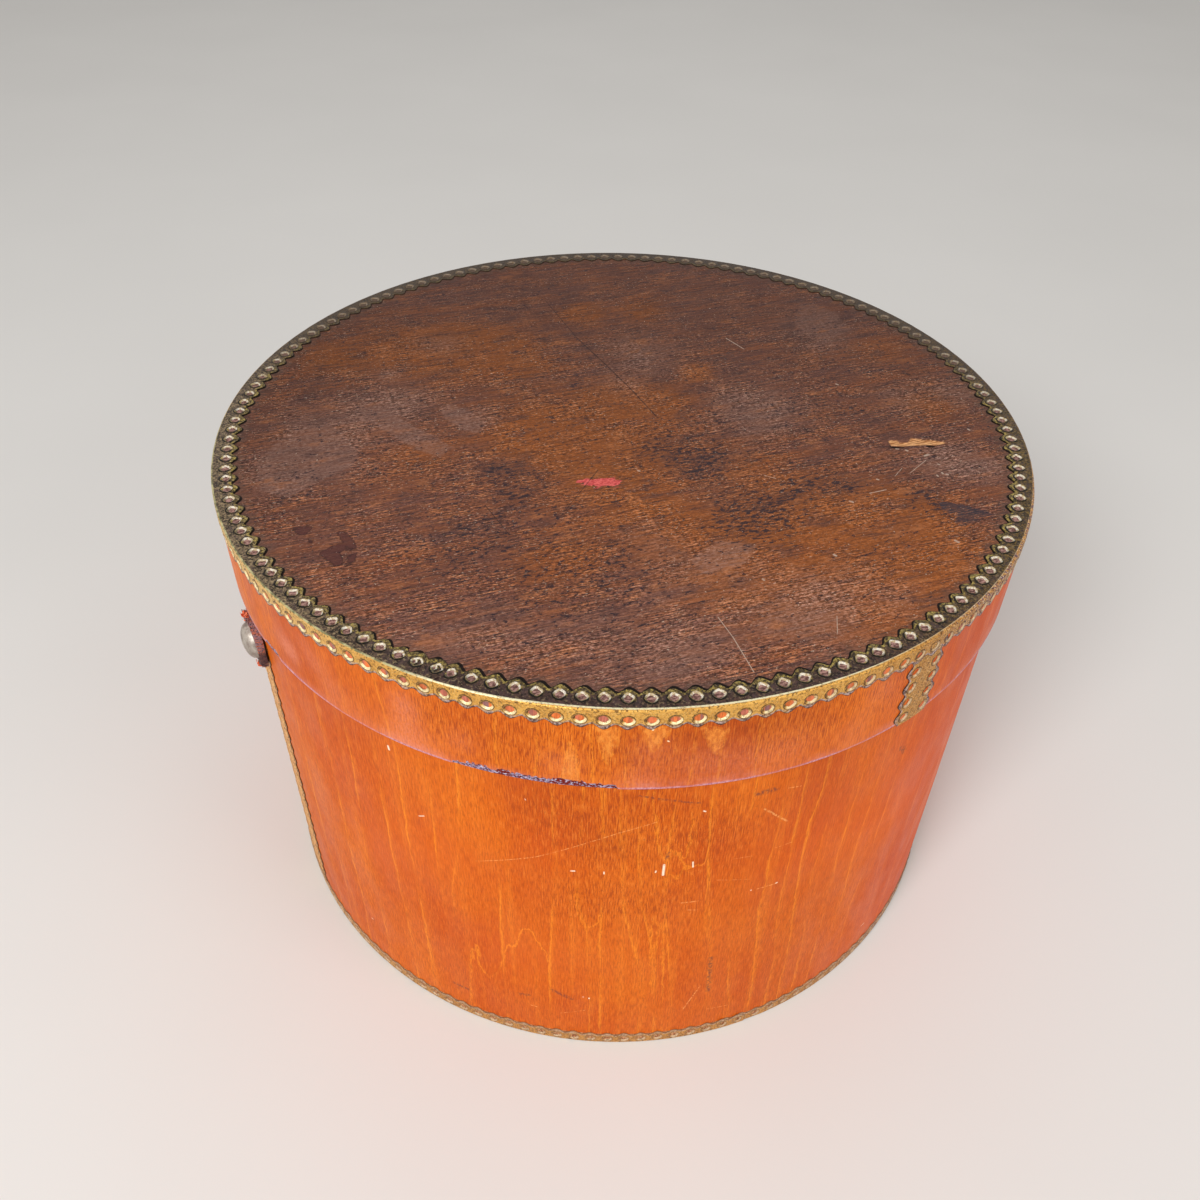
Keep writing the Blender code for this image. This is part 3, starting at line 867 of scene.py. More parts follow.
def worn_brass(name, grimes, golds, outlines, fold_tint, fold_strength):
    """Punched strip, grimy on the leg that lies flat and golden on the leg that stands up, with painted
    light and shade round its holes and a painted highlight along its fold.

    The grimes are (dark, light) at the front, the left, the right and the back. The outlines
    are (painted highlight on the lit side of the holes, and the dark colour of their rims, of their
    painted shaded side and of the sheet's edge) of the golden leg.
    """
    f = Finish(name, specular_ior_level=0.15)
    hole, edge, across = f.place("punch").parts()
    glint = f.mark("glint")
    here = f.here()
    x, y, _ = here.parts()
    fine = here.noise(0.85, 4, 0.7)
    grit = here.noise(1.7, 2, 0.6)
    broad = here.noise(0.11, 2)
    patch = here.noise(0.3, 3, 0.6)
    pits = here.noise(0.95, 3, 0.7).ramp(0.54, 0.6)
    back = y.ramp(-20, 110)

    front, left, right, far = [fine.ramp(0.38, 0.64).mix(*tones) for tones in grimes]
    grime = x.ramp(-55, -150).mix(front, left)
    grime = grime.coat(
        (x.ramp(80, 175), right),
        (patch.ramp(0.45, 0.62) * 0.45, (78, 60, 62)))
    lobe = edge.ramp(3.6, 2).math("MAXIMUM", hole.ramp(3.5, 2.7))
    olive = fine.ramp(0.43, 0.55).mix((66, 50, 22), (186, 162, 86))
    olive = grit.ramp(0.54, 0.62, 0, 0.7).mix(olive, (40, 32, 18))
    grime = grime.coat(
        (lobe * patch.ramp(0.36, 0.56, 0.45, 1), olive),
        (pits * 0.85, (26, 20, 16)))
    flecks = here.scaled(1, 1, 1.3).noise(0.9, 2, 0.6).ramp(0.57, 0.64, 0, 0.65)
    flecks = flecks * x.ramp(-30, -120, 0.45, 1)
    grime = flecks.mix(grime, (170, 148, 110))
    # A dark ring round the foot of each hole's collar on the flat leg: dirt, and painted shadow
    # strongest on the side turned from the painted light
    ring = hole.ramp(3.45, 3.05) * hole.ramp(2.35, 2.65)
    ring = ring * glint.ramp(0.45, -0.15, 0.2, 1)
    grime = (ring * fine.ramp(0.35, 0.5, 0.6, 1)).mix(grime, (12, 8, 8))
    # Painted highlight on the collar's crest, on the side facing the painted light
    crest_highlight = hole.ramp(2.65, 2.3) * glint.ramp(-0.55, 0.35, 0.1, 1)
    crest_highlight = crest_highlight * fine.ramp(0.34, 0.5, 0.55, 1)
    grime = grime.coat(
        (crest_highlight, fine.ramp(0.42, 0.56).mix((255, 246, 230), (186, 164, 128))),
        (edge.ramp(0.35, 0.1, 0, 0.8), (22, 16, 14)),
        (back * 0.85, hole.ramp(3.2, 2.2).mix(far, (112, 92, 74))))

    bright, tan, mauve, dusky, sidelong = golds
    rub_and_highlight, drawn = outlines
    gold = broad.ramp(0.35, 0.65).mix(bright, tan)
    gold = gold.coat(
        (x.ramp(-90, -150, 0, 0.55), sidelong),
        (x.ramp(60, 140, 0, 0.7), (180, 122, 60)),
        (fine.ramp(0.5, 0.66, 0, 0.55), (166, 114, 52)),
        (grit.ramp(0.36, 0.46, 0.45, 0), (242, 204, 130)))
    tips = edge.ramp(3, 1.8) * patch.ramp(0.36, 0.54, 0.55, 1)
    tipped = fine.ramp(0.44, 0.58).mix(mauve, dusky)
    gold = (tips * 0.9).mix(gold, tipped)
    spent = x.ramp(115, 160)
    gold = gold.coat(
        (fine.ramp(0.5, 0.56, 0, 0.95) * spent, (104, 74, 96)),
        (grit.ramp(0.36, 0.44, 0.7, 0) * spent, (238, 222, 200)))
    # A dark ring round each hole on the standing leg: dirt and painted shade in the crease
    rim = hole.ramp(3.15, 2.85) * hole.ramp(2.45, 2.75)
    rim = rim * fine.ramp(0.36, 0.54, 0.45, 1)
    gold = (rim * 0.95).mix(gold, drawn)
    # Painted highlight on the lit side of each hole
    lit = hole.ramp(2.75, 2.4) * glint.ramp(-0.05, 0.45)
    rub_and_highlight = x.ramp(30, 120, 0, 0.8).mix(rub_and_highlight, (198, 166, 134))
    gold = (lit * grit.ramp(0.34, 0.5, 0.55, 1)).mix(gold, rub_and_highlight)
    # Painted shade on the side of each hole turned from the painted light
    hole_shade = hole.ramp(2.6, 2.3) * glint.ramp(0.05, -0.3)
    gold = gold.coat(
        (hole_shade * 0.8, drawn),
        (pits * across.ramp(0.4, 3, 0.85, 0.45), (88, 60, 38)),
        (edge.ramp(0.7, 0.2, 0, 0.9), drawn))

    colour = across.ramp(-0.45, -0.15).mix(grime, gold)
    # The bright line along the fold: worn polish and a painted highlight, shown at the front and fading
    # out towards the back
    thinned = x.ramp(50, 130, 0, 0.35)
    fold = (across - thinned).ramp(-0.8, -0.45) * (across + thinned).ramp(0.05, 0.45, 1, 0)
    shine = x.ramp(-88, -62) * y.ramp(-85, -125)
    worn = shine.mix(patch.ramp(0.4, 0.6).mix((118, 116, 84), (188, 180, 134)), fold_tint)
    kept = y.ramp(20, -60) * fine.ramp(0.34, 0.5, 0.25, 1)
    kept = kept * x.ramp(80, 150, 1, 0.6)
    colour = (fold * (kept * fold_strength)).mix(colour, worn)
    f.set(base_color=colour, metallic=across.ramp(-0.6, 0.6, 0.05, 0.5))
    f.set(roughness=fine.ramp(0.3, 0.7, 0.36, 0.6))
    f.bump(fine - pits * 0.9, 0.00022, 0.7)
    return f.material


def nickel():
    f = Finish("worn_nickel", metallic=0.55)
    here = f.here()
    fine = here.noise(1.1, 4, 0.65)
    broad = here.noise(0.2, 3)
    colour = broad.ramp(0.35, 0.65).mix((188, 178, 166), (146, 132, 122))
    colour = colour.coat(
        (fine.ramp(0.55, 0.72, 0, 0.6), (118, 106, 92)),
        (fine.ramp(0.3, 0.42, 0.4, 0), (228, 226, 216)))
    f.set(base_color=colour, roughness=fine.ramp(0.3, 0.7, 0.46, 0.62))
    f.bump(fine, 0.00012, 0.6)
    return f.material


def leather():
    f = Finish("old_leather", specular_ior_level=0.3)
    place = f.place()
    fine = f.here().noise(1.3, 4, 0.6)
    creases = place.scaled(0.3, 0.8, 1).noise(1, 3, 0.6, 0.6)
    colour = fine.ramp(0.3, 0.7).mix((50, 32, 36), (98, 68, 64))
    colour = creases.ramp(0.52, 0.68, 0, 0.55).mix(colour, (140, 100, 82))
    across, up, _ = place.parts()
    fray = place.grain(0.55, 1.2, 4, 0.7)
    torn = fray.ramp(0.4, 0.56).mix((150, 132, 138), (84, 56, 54))
    torn = torn.coat(
        (fray.ramp(0.58, 0.66), (196, 104, 62)),
        (across.ramp(-6, -10, 0, 0.8), (206, 96, 66)))
    colour = f.mark("torn").ramp(0.45, 0.8).mix(colour, torn)
    face = fray * -12 + up
    split = fray.ramp(0.42, 0.52).mix((206, 112, 72), (150, 118, 126))
    split = fine.ramp(0.52, 0.6).mix(split, (62, 34, 36))
    colour = face.ramp(-6.5, -4, 0, 0.85).mix(colour, split)
    f.set(base_color=colour, roughness=fine.ramp(0.3, 0.7, 0.55, 0.8))
    f.bump(fine + creases, 0.0005, 0.8)
    return f.material


def fibres():
    f = Finish("torn_fibres", roughness=0.85, specular_ior_level=0.2)
    fine = f.here().noise(0.8, 3)
    dull = fine.ramp(0.35, 0.65).mix((104, 70, 66), (172, 136, 132))
    tuft = fine.ramp(0.35, 0.65).mix((226, 98, 58), (252, 156, 116))
    f.set(base_color=f.mark("tuft").mix(dull, tuft))
    f.bump(fine, 0.0002, 0.5)
    return f.material


GRAIN_TURN = 20.0
FIBRES = 300
TUFT_FIBRES = 120

# Patches on the lid as (pixel, radius, strength)
INK = (
    ((650, 452), 9, 0.7), ((668, 445), 12, 0.8), ((690, 462), 13, 0.9), ((718, 452), 13, 0.8),
    ((740, 512), 14, 1.0), ((764, 520), 15, 1.0), ((700, 470), 12, 0.8), ((780, 500), 12, 0.7),
    ((800, 486), 12, 0.8), ((824, 480), 11, 0.7), ((848, 488), 8, 1.0), ((740, 530), 9, 0.7),
    ((502, 474), 8, 0.9), ((523, 496), 7, 0.7), ((490, 468), 7, 0.6), ((916, 494), 6, 1.1),
    ((930, 500), 7, 0.9), ((945, 512), 7, 0.9), ((577, 384), 3.2, 1.5), ((795, 410), 6, 0.7),
    ((850, 409), 5, 0.9), ((716, 413), 3, 1.0), ((721, 422), 3, 1.0), ((560, 520), 12, 0.35),
    ((600, 560), 22, 0.35), ((440, 560), 14, 0.3), ((470, 545), 30, 0.5), ((540, 592), 28, 0.45),
    ((620, 590), 24, 0.3), ((700, 560), 20, 0.25), ((520, 480), 14, 0.8), ((495, 520), 16, 0.5),
    ((335, 500), 8, 0.5), ((300, 470), 10, 0.45), ((640, 640), 14, 0.35), ((905, 530), 10, 0.4),
    ((872, 555), 7, 0.6), ((600, 500), 10, 0.3),
)
DUST = (
    ((300, 435), 24, 0.5), ((325, 470), 26, 0.4), ((268, 475), 16, 0.5), ((400, 398), 20, 0.5),
    ((440, 346), 16, 0.5), ((388, 374), 8, 0.8), ((477, 420), 12, 0.8), ((360, 415), 26, 0.6),
    ((645, 352), 26, 0.8), ((620, 385), 16, 0.5), ((770, 404), 24, 0.6), ((744, 410), 20, 0.7),
    ((812, 326), 22, 0.7), ((830, 345), 14, 0.5), ((896, 398), 16, 0.6), ((955, 392), 16, 0.8),
    ((960, 460), 16, 0.7), ((985, 470), 12, 0.7), ((940, 465), 14, 0.5), ((420, 640), 22, 0.5),
    ((700, 640), 30, 0.6), ((820, 620), 22, 0.5), ((520, 640), 24, 0.4), ((660, 560), 26, 0.4),
    ((900, 600), 14, 0.4), ((720, 300), 20, 0.3), ((820, 600), 20, 0.4), ((600, 660), 18, 0.4),
)
# Smears of dust with sharp edges
FILMS = (
    ((387, 412), (405, 422), (430, 434), (453, 447), (440, 457), (415, 449), (395, 437), (372, 420),
     (355, 408), (365, 402)),
    ((341, 434), (357, 454), (350, 465), (322, 478), (288, 496), (262, 490), (258, 462), (282, 440),
     (308, 426), (328, 424)),
    ((440, 409), (452, 404), (466, 410), (482, 424), (478, 432), (462, 428), (446, 418)),
    ((690, 560), (720, 540), (760, 545), (742, 566), (705, 574)),
    ((800, 300), (835, 312), (850, 330), (826, 340), (796, 326)),
)
WARM = (
    ((483, 346), 22, 0.8), ((510, 360), 22, 0.7), ((583, 314), 12, 0.9), ((334, 357), 14, 0.8),
    ((696, 372), 8, 1.0), ((642, 311), 12, 0.7), ((612, 398), 14, 0.8), ((930, 404), 12, 0.8),
    ((600, 440), 40, 0.7), ((540, 430), 26, 0.6), ((830, 560), 40, 1.1), ((880, 530), 30, 1.0),
    ((420, 350), 30, 0.7), ((930, 540), 22, 0.7), ((640, 510), 26, 0.5), ((760, 470), 20, 0.4),
    ((660, 400), 16, 0.6), ((880, 350), 18, 0.3), ((560, 560), 20, 0.4), ((420, 455), 16, 0.4),
    ((720, 560), 26, 0.5),
)
# Flakes of old brown paint
PAINT = (
    ((293, 528), (302, 526.5), (312, 527.5), (306.5, 534), (301, 536), (297, 533)),
    ((335, 531), (344.6, 532), (350, 536.5), (355, 543.5), (356, 550), (350, 551), (344, 542)),
    ((319.8, 553), (331, 547), (342, 542), (346.5, 547), (339.5, 553), (343, 559), (341, 568),
     (331, 562.5)), ((349, 555), (356, 553), (354, 565), (348, 563)),
    ((307, 539), (313, 540.5), (309, 545)),
)
CHIP = (
    (888, 441), (891, 439.6), (897.5, 440), (899.6, 442.3), (908, 441.8), (910.4, 437.5),
    (913.6, 437.8), (920, 438.6), (924.3, 439.6), (928.6, 439), (934, 440), (945.7, 441.8),
    (944.6, 443.4), (937, 445), (926.4, 444.5), (920, 445.5), (911.4, 445.5), (902.9, 446),
    (891, 445.5),
)
# Slits under the chip's lower edge, sunk and painted near black as shadow
SLITS = (
    ((889, 445.2), (893, 445.8), (905, 445.8), (904, 447.8), (895, 448.2), (891, 447.3)),
    ((925.5, 444.2), (931, 444.5), (936.5, 445.2), (933, 447.2), (927, 446.6)),
)
WEDGE = (
    (938, 500), (946, 501.5), (958, 504), (970, 506.5), (983, 510), (996, 514.5), (990, 516),
    (981, 518), (974, 524), (966, 522), (962, 528), (955, 522), (957, 512), (948, 514), (941, 508),
)
SMEAR = (
    (577, 481.5), (583, 480.5), (588, 479.3), (594, 480), (600, 478.8), (609, 479), (614, 478.8),
    (620, 481.5), (621, 483.5), (617, 485.6), (609, 485.8), (603, 485), (597, 486.3), (591, 484.5),
    (584, 484.6),
)
LID_SCRATCHES = (
    ((577, 338), (602, 361), 0.55, "dark"), ((602, 361), (630, 388), 0.6, "dark"),
    ((630, 388), (658, 418), 0.5, "dark"), ((545, 300), (577, 338), 0.35, "dark"),
    ((718, 617), (733, 637), 0.24, "pale"), ((733, 637), (754, 672), 0.28, "pale"),
    ((870, 493), (886, 489.5), 0.4, "pale"), ((764, 475), (776, 478.5), 0.24, "pale"),
    ((910, 473), (926, 460), 0.24, "pale"), ((895, 476), (902, 468), 0.2, "pale"),
    ((955.5, 540.5), (958.5, 542), 0.9, "pale"), ((834, 554.5), (836, 555.5), 0.8, "pale"),
    ((850, 501), (853, 502), 0.7, "pale"), ((638, 470.5), (639.5, 471), 0.7, "pale"),
    ((763, 579), (764, 580), 0.7, "pale"), ((925, 455.6), (928.5, 454.4), 0.9, "pale"),
    ((896, 448.6), (898.5, 448.9), 0.6, "pale"), ((906, 450), (907.5, 450.6), 0.8, "pale"),
    ((836, 384), (838, 384.6), 0.6, "pale"), ((968, 429), (969.5, 430), 0.7, "pale"),
    ((726, 338), (744, 349), 0.35, "pale"), ((877, 479), (878.5, 479.5), 0.7, "pale"),
    ((905.5, 373.5), (908.5, 374.2), 1.6, "dark"), ((560, 517), (598, 470), 0.3, "dark"),
    ((485, 505), (510, 535), 0.3, "dark"), ((837, 616), (837.5, 634), 0.22, "pale"),
    ((938, 464), (939.5, 464.5), 0.6, "pale"), ((942, 472.5), (943, 473.5), 0.7, "pale"),
    ((946.5, 474), (948, 474.5), 0.7, "pale"), ((937, 475), (938, 476), 0.6, "pale"),
)


def top_ply():
    """Dark, dry ply with its grain running nearly sideways, stained, dusty and scuffed, with a painted
    shadow along the brass and painted shade towards the back.
    """
    f = Finish("top_ply", specular_ior_level=0.08)
    place = f.place()
    depth = place.parts()[2]
    flat = place.scaled(1, 1, 0)
    turned = f.node("VectorRotate", flat, (0, 0, 0), (0, 0, 1), -math.radians(GRAIN_TURN),
                    rotation_type="Z_AXIS")
    bands = turned.grain(0.01, 0.11, 4, 0.6)
    streaks = turned.grain(0.045, 0.55, 4, 0.65)
    threads = turned.grain(0.09, 1.5, 4, 0.7)
    cloud = flat.grain(0.022, 0.022, 4, 0.6)
    grit = turned.grain(0.5, 0.95, 3, 0.7)
    fleck = turned.grain(0.25, 0.5, 4, 0.72)

    warm = f.mark("warm") + bands * 1.3
    colour = warm.ramp(0.45, 1.25).mix((102, 64, 54), (138, 76, 34))
    colour = colour.coat(
        (bands.ramp(0.5, 0.72, 0, 0.4), (128, 72, 48)),
        (streaks.ramp(0.34, 0.52, 0.6, 0), (68, 44, 38)),
        (streaks.ramp(0.52, 0.72, 0, 0.5), (160, 96, 54)))
    film = cloud * 7 + f.mark("film")
    filmed = film.ramp(2, 5.5, 1, 0)
    dust = filmed * 0.75 + f.mark("dust")
    dust = dust + cloud * 1.5
    dust = dust.ramp(0.7, 1.8) * grit.ramp(0.35, 0.6, 1, 0.45)
    colour = (dust * 0.6).mix(colour, (146, 114, 102))

    x, y, _ = flat.parts()
    clouds = turned.grain(0.045, 0.1, 4, 0.65)
    colour = colour.coat(
        (clouds.ramp(0.52, 0.66, 0, 0.55), (74, 52, 50)),
        (clouds.ramp(0.32, 0.44, 0.45, 0), (170, 106, 66)))
    rough = flat.grain(0.035, 0.05, 3, 0.6)
    rough = rough.ramp(0.38, 0.6, 0.35, 1) * y.ramp(20, 130, 1, 0.6)
    rough = rough * (filmed * -0.6 + 1)
    fibre = (dust * 0.9).mix((190, 122, 78), (186, 154, 144))
    pored = threads.ramp(0.53, 0.62, 0, 0.92) * rough
    colour = pored.mix(colour, (60, 40, 38))
    raised = threads.ramp(0.37, 0.47, 0.78, 0) * rough
    colour = raised.mix(colour, fibre)
    gritty = grit.ramp(0.38, 0.6, 0.55, -0.52) * rough
    colour = colour.shade(gritty + 1)
    # Painted shade: darker towards the back and lighter towards the front; then darker towards the far
    # left.
    colour = colour.shade(y.ramp(-170, 150, 1.17, 0.7))
    colour = colour.shade(x.ramp(-190, -110, 0.78, 1))
    sparks = turned.grain(0.45, 1, 2, 0.6, scale=1.3)
    sparks = sparks.ramp(0.62, 0.7, 0, 0.75) * rough
    colour = sparks.mix(colour, (212, 182, 160))
    inked = f.mark("ink").math("MINIMUM", 1.25)
    colour = (inked * 0.16).mix(colour, (62, 48, 48))
    inked = fleck + inked * 0.08
    blot = turned.grain(0.07, 0.14, 2)
    inked = inked + (blot * 0.14 - 0.07)
    colour = inked.ramp(0.6, 0.635, 0, 0.85).mix(colour, (38, 34, 42))
    painted = fleck * 4 + f.mark("paint")
    colour = painted.ramp(1.9, 2.3, 0.8, 0).mix(colour, (80, 46, 44))
    outline = abs(painted - 2.15)
    colour = outline.ramp(0.1, 0.45, 0.6, 0).mix(colour, (46, 28, 28))
    edge = streaks * 7 + f.mark("wedge")
    wedge = edge.ramp(2.8, 4.2, 0.85, 0) * threads.ramp(0.35, 0.6, 0.5, 1)
    colour = wedge.mix(colour, (52, 48, 56))
    smear = fleck * 9 + f.mark("smear")
    red = grit.ramp(0.4, 0.6).mix((232, 108, 104), (192, 66, 68))
    colour = smear.ramp(4.7, 5.2, 0.9, 0).mix(colour, red)
    dots = flat.grain(0.8, 0.8, 2, 0.5)
    white = dots.ramp(0.7, 0.75) * 0.7
    colour = white.mix(colour, (206, 184, 164))
    ragged = grit.ramp(0.3, 0.6, 0.35, 0.9)
    for start, end, width, kind in LID_SCRATCHES:
        mask = flat.streak(on_lid(start), on_lid(end), width, 0.4) * ragged
        colour = mask.mix(colour, (50, 34, 30) if kind == "dark" else (192, 168, 150))
    raw = turned.grain(0.12, 1.6)
    raw = raw.ramp(0.36, 0.62).mix((146, 88, 48), (232, 176, 122))
    raw = raw.shade(grit.ramp(0.4, 0.6, 1.15, 0.85))
    # The chip's bare wood, and its slits painted near black as shadow
    colour = colour.coat(
        (f.mark("bare"), raw),
        (f.mark("slit"), (22, 18, 18)))

    radius = flat.vector("LENGTH", output="Value")
    turn = y.math("ARCTAN2", x).math("DEGREES")
    turn = (turn - (LID_START - 360)).math("WRAP", 360, 0)
    slipped = turn.ramp(60 * PITCH_ANGLE, 120 * PITCH_ANGLE, 0, 0.3)

    def inside_strip(ahead, outer):
        """How far a point is from the strip's scalloped edge, after a move round and outwards."""
        cell = (turn - ahead) / PITCH_ANGLE
        cell = (cell - slipped).math("FRACT")
        bulge = (cell * math.pi).math("SINE")
        bulge = bulge.math("POWER", SCALLOP_POWER)
        reach = bulge * -SCALLOP_DEPTH + (RIM_RADIUS - LID_FLAT_LEG + SCALLOP_DEPTH)
        return reach - outer - radius

    inward = inside_strip(0, 0)
    grimy = inward.ramp(0.5, 6, 1, 0) * cloud.ramp(0.3, 0.6, 0.2, 0.7)
    colour = (grimy * 0.6).mix(colour, (92, 74, 64))
    # Painted shadow cast by the strip's scalloped edge on the wood, moved round and outwards from the
    # edge and weaker at the back
    sideways = turn.ramp(45, 58, 0.2, -0.08)
    sideways = sideways + turn.ramp(230, 290, 0, 0.28)
    cast_shadow = inside_strip(sideways, turn.ramp(45, 58, 1, 0.32))
    cast_shadow = cast_shadow - (grit * 0.5 - 0.25)
    cast_shadow = cast_shadow.ramp(0.12, -0.12) * y.ramp(20, 140, 0.95, 0.35)
    colour = cast_shadow.mix(colour, (8, 6, 5))
    touch = inward.ramp(0.5, 0.15) * y.ramp(20, 140, 0.7, 0.3)
    colour = touch.mix(colour, (24, 18, 14))
    hidden = grit.ramp(0.4, 0.58).mix((176, 136, 126), (96, 66, 60))
    hidden = y.ramp(-20, 110).mix(hidden, (96, 78, 66))
    colour = inward.ramp(-1.5, -2).mix(colour, hidden)
    under = turned.grain(0.02, 0.5).mix((176, 128, 78), (214, 172, 118))
    colour = depth.ramp(1.2, 1.6).mix(colour, under)
    f.set(base_color=colour, roughness=(cloud + dust).ramp(0.3, 1.2, 0.5, 0.74))
    relief = streaks + grit * 0.7 - threads * 0.7
    f.bump(relief, 0.0003, 0.8)
    return f.material


def inside_any(points, outlines):
    """Distance from the nearest of some outlines drawn on the lid, below zero inside one."""
    return np.min([signed_gap(points, [on_lid(pixel) for pixel in outline])
                   for outline in outlines], axis=0)


def lid_panel(material):
    """The round top: a grid of squares drawn out to a disc, finer where its veneer is chipped."""
    plain = np.linspace(-1, 1, 151)
    lines = [np.unique(np.concatenate((plain, np.linspace(*span)))).round(6)
             for span in ((0.655, 0.825, 69), (-0.100, -0.035, 27))]
    u, v = (axis.ravel() for axis in np.meshgrid(*lines, indexing="ij"))
    norm = np.maximum(np.hypot(u, v), 1e-9)
    grow = np.maximum(abs(u), abs(v)) / norm * PANEL_RADIUS
    flat = np.stack((u * grow, v * grow), axis=1)
    chip = signed_gap(flat, [on_lid(pixel) for pixel in CHIP])
    slit = np.minimum(*(signed_gap(flat, [on_lid(pixel) for pixel in outline])
                        for outline in SLITS))
    dip = 0.55 * (1 - smooth(chip, -0.45, 0.05)) + 0.9 * (1 - smooth(slit, -0.5, 0.1))
    x, y = flat.T
    dip += 0.06 * (np.sin(x * 0.031 + 1) * np.sin(y * 0.027) + 1)
    dip *= 1 - smooth(np.hypot(x, y), 186, 190)
    nx, ny = len(lines[0]), len(lines[1])
    grid = np.arange(nx * ny).reshape(nx, ny)
    top = [(grid[i, j], grid[i + 1, j], grid[i + 1, j + 1], grid[i, j + 1])
           for i in range(nx - 1) for j in range(ny - 1)]
    border = ([grid[i, 0] for i in range(nx - 1)] + [grid[-1, j] for j in range(ny - 1)]
              + [grid[i, -1] for i in range(nx - 1, 0, -1)]
              + [grid[0, j] for j in range(ny - 1, 0, -1)])
    base = len(flat)
    ring = list(range(base, base + len(border)))
    sides = [(b, a, c, d) for a, b, c, d in
             zip(border, border[1:] + border[:1], ring, ring[1:] + ring[:1])]
    points = np.concatenate((np.column_stack((flat, WOOD_TOP - dip)),
                             np.column_stack((flat[border], np.full(len(border), PANEL_FOOT)))))
    faces = [tuple(int(v) for v in face) for face in top + sides + [ring[::-1]]]
    place = np.column_stack((points[:, :2], WOOD_TOP - points[:, 2]))
    place[:base, 2] = 0.0

    def both(values):
        return np.concatenate((values, np.asarray(values)[border]))

    piece = new_mesh(
        "lid_top_ply", points, faces, material, "lid", "top_ply", place=place,
        bare=both(1 - smooth(chip, -0.5, 0.1)), slit=both(1 - smooth(slit, -0.3, 0.2)),
        **{mark: both(patches(flat, spots, on_lid))
           for mark, spots in (("ink", INK), ("dust", DUST), ("warm", WARM))},
        **{mark: both(inside_any(flat, outlines))
           for mark, outlines in (("paint", PAINT), ("wedge", (WEDGE,)), ("smear", (SMEAR,)),
                                  ("film", FILMS))})
    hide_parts("lid_panel")


def strap_end(side, azimuth, skins):
    """One torn strap end with its stud outside the wall and the washer inside."""
    leather_skin, fibre_skin, nickel_skin = skins
    rng = random.Random(side)
    bore = LEATHER_BORE[side]
    wide, tall = 36, 36
    points, place, torn = [], [], []
    ragged = [[rng.uniform(-0.5, 0.5) + 0.6 * math.sin(i * 0.8 + k) for i in range(wide + 1)]
              for k in range(2)]
    for face in (1, 0):
        for i in range(wide + 1):
            across = LEATHER_HALF_WIDTH * (2 * i / wide - 1)
            low = max(ragged[0][i] - TORN_LEVEL, -LEATHER_HALF_HEIGHT)
            high = min(ragged[1][i] + TORN_LEVEL, LEATHER_HALF_HEIGHT)
            for j in range(tall + 1):
                up = low + (high - low) * j / tall
                rim = min(LEATHER_HALF_WIDTH - abs(across), LEATHER_HALF_HEIGHT - abs(up),
                          up - low + 0.6, high - up + 0.6)
                fall = math.sqrt(max(1 - (1 - min(rim / 0.9, 1.0)) ** 2, 0.0))
                body = LEATHER_THICKNESS - 0.15 - 1.3 * (1 - fall)
                gap = math.hypot(across, up)
                body -= 0.35 * (1 - float(smooth(gap, 9.3, 10.8))) + 0.10 * math.sin(up * 1.7 + across)
                reach = bore + 0.05 + (body if face else 0.0)
                points.append(polar(reach, azimuth + math.degrees(across / bore),
                                    STUD_LEVEL + up))
                place.append((across, up, face))
                torn.append(1 - min(min(up - low, high - up) / 1.5, 1.0))
    step = tall + 1
    size = (wide + 1) * step
    faces = []
    for i in range(wide):
        for j in range(tall):
            a, b, c, d = (i * step + j, (i + 1) * step + j, (i + 1) * step + j + 1, i * step + j + 1)
            faces += [(a, b, c, d), (d + size, c + size, b + size, a + size)]
    edge = ([i * step for i in range(wide)] + [wide * step + j for j in range(tall)]
            + [i * step + tall for i in range(wide, 0, -1)] + [j for j in range(tall, 0, -1)])
    faces += [(b, a, a + size, b + size) for a, b in zip(edge, edge[1:] + edge[:1])]
    stub = new_mesh("strap_leather_" + side, points, faces, leather_skin, "box",
                    "strap_leather", place=place, torn=torn)
    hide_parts("strap_stub_" + side)
    torn_fibres(side, azimuth, bore, fibre_skin, rng)
    seat = bore + LEATHER_THICKNESS - 0.9
    dome = [(0.0, 5.05)]
    for i in range(1, 15):
        turn = math.pi / 2 * i / 15
        dome.append((8.9 * math.sin(turn) ** 0.96, 0.5 + 4.55 * math.cos(turn)))
    dome += [(9.1, 0.45), (9.2, 0.2), (9.1, 0.0), (7.5, -0.05), (SHANK_RADIUS, -0.1)]
    end = WASHER_OUT - 1.0 - 0.3 - seat
    dome += [(SHANK_RADIUS, end), (3.0, end), (2.9, end - 0.5), (2.3, end - 0.8), (0.0, end - 0.8)]
    stud = lathe("strap_dome_" + side, dome, 64, nickel_skin, "box", "stud_nickel",
                 outward(seat, azimuth, STUD_LEVEL))
    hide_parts("strap_stud_" + side)
    ring = [(5.8, 0.0), (6.0, -0.15), (6.0, -0.85), (5.8, -1.0), (2.2, -1.0), (2.05, -0.85),
            (2.05, -0.15), (2.2, 0.0)]
    washer = lathe("inner_washer_" + side, ring, 48, nickel_skin, "box", "stud_nickel",
                   outward(WASHER_OUT, azimuth, STUD_LEVEL))
    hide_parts("stud_washer_" + side)


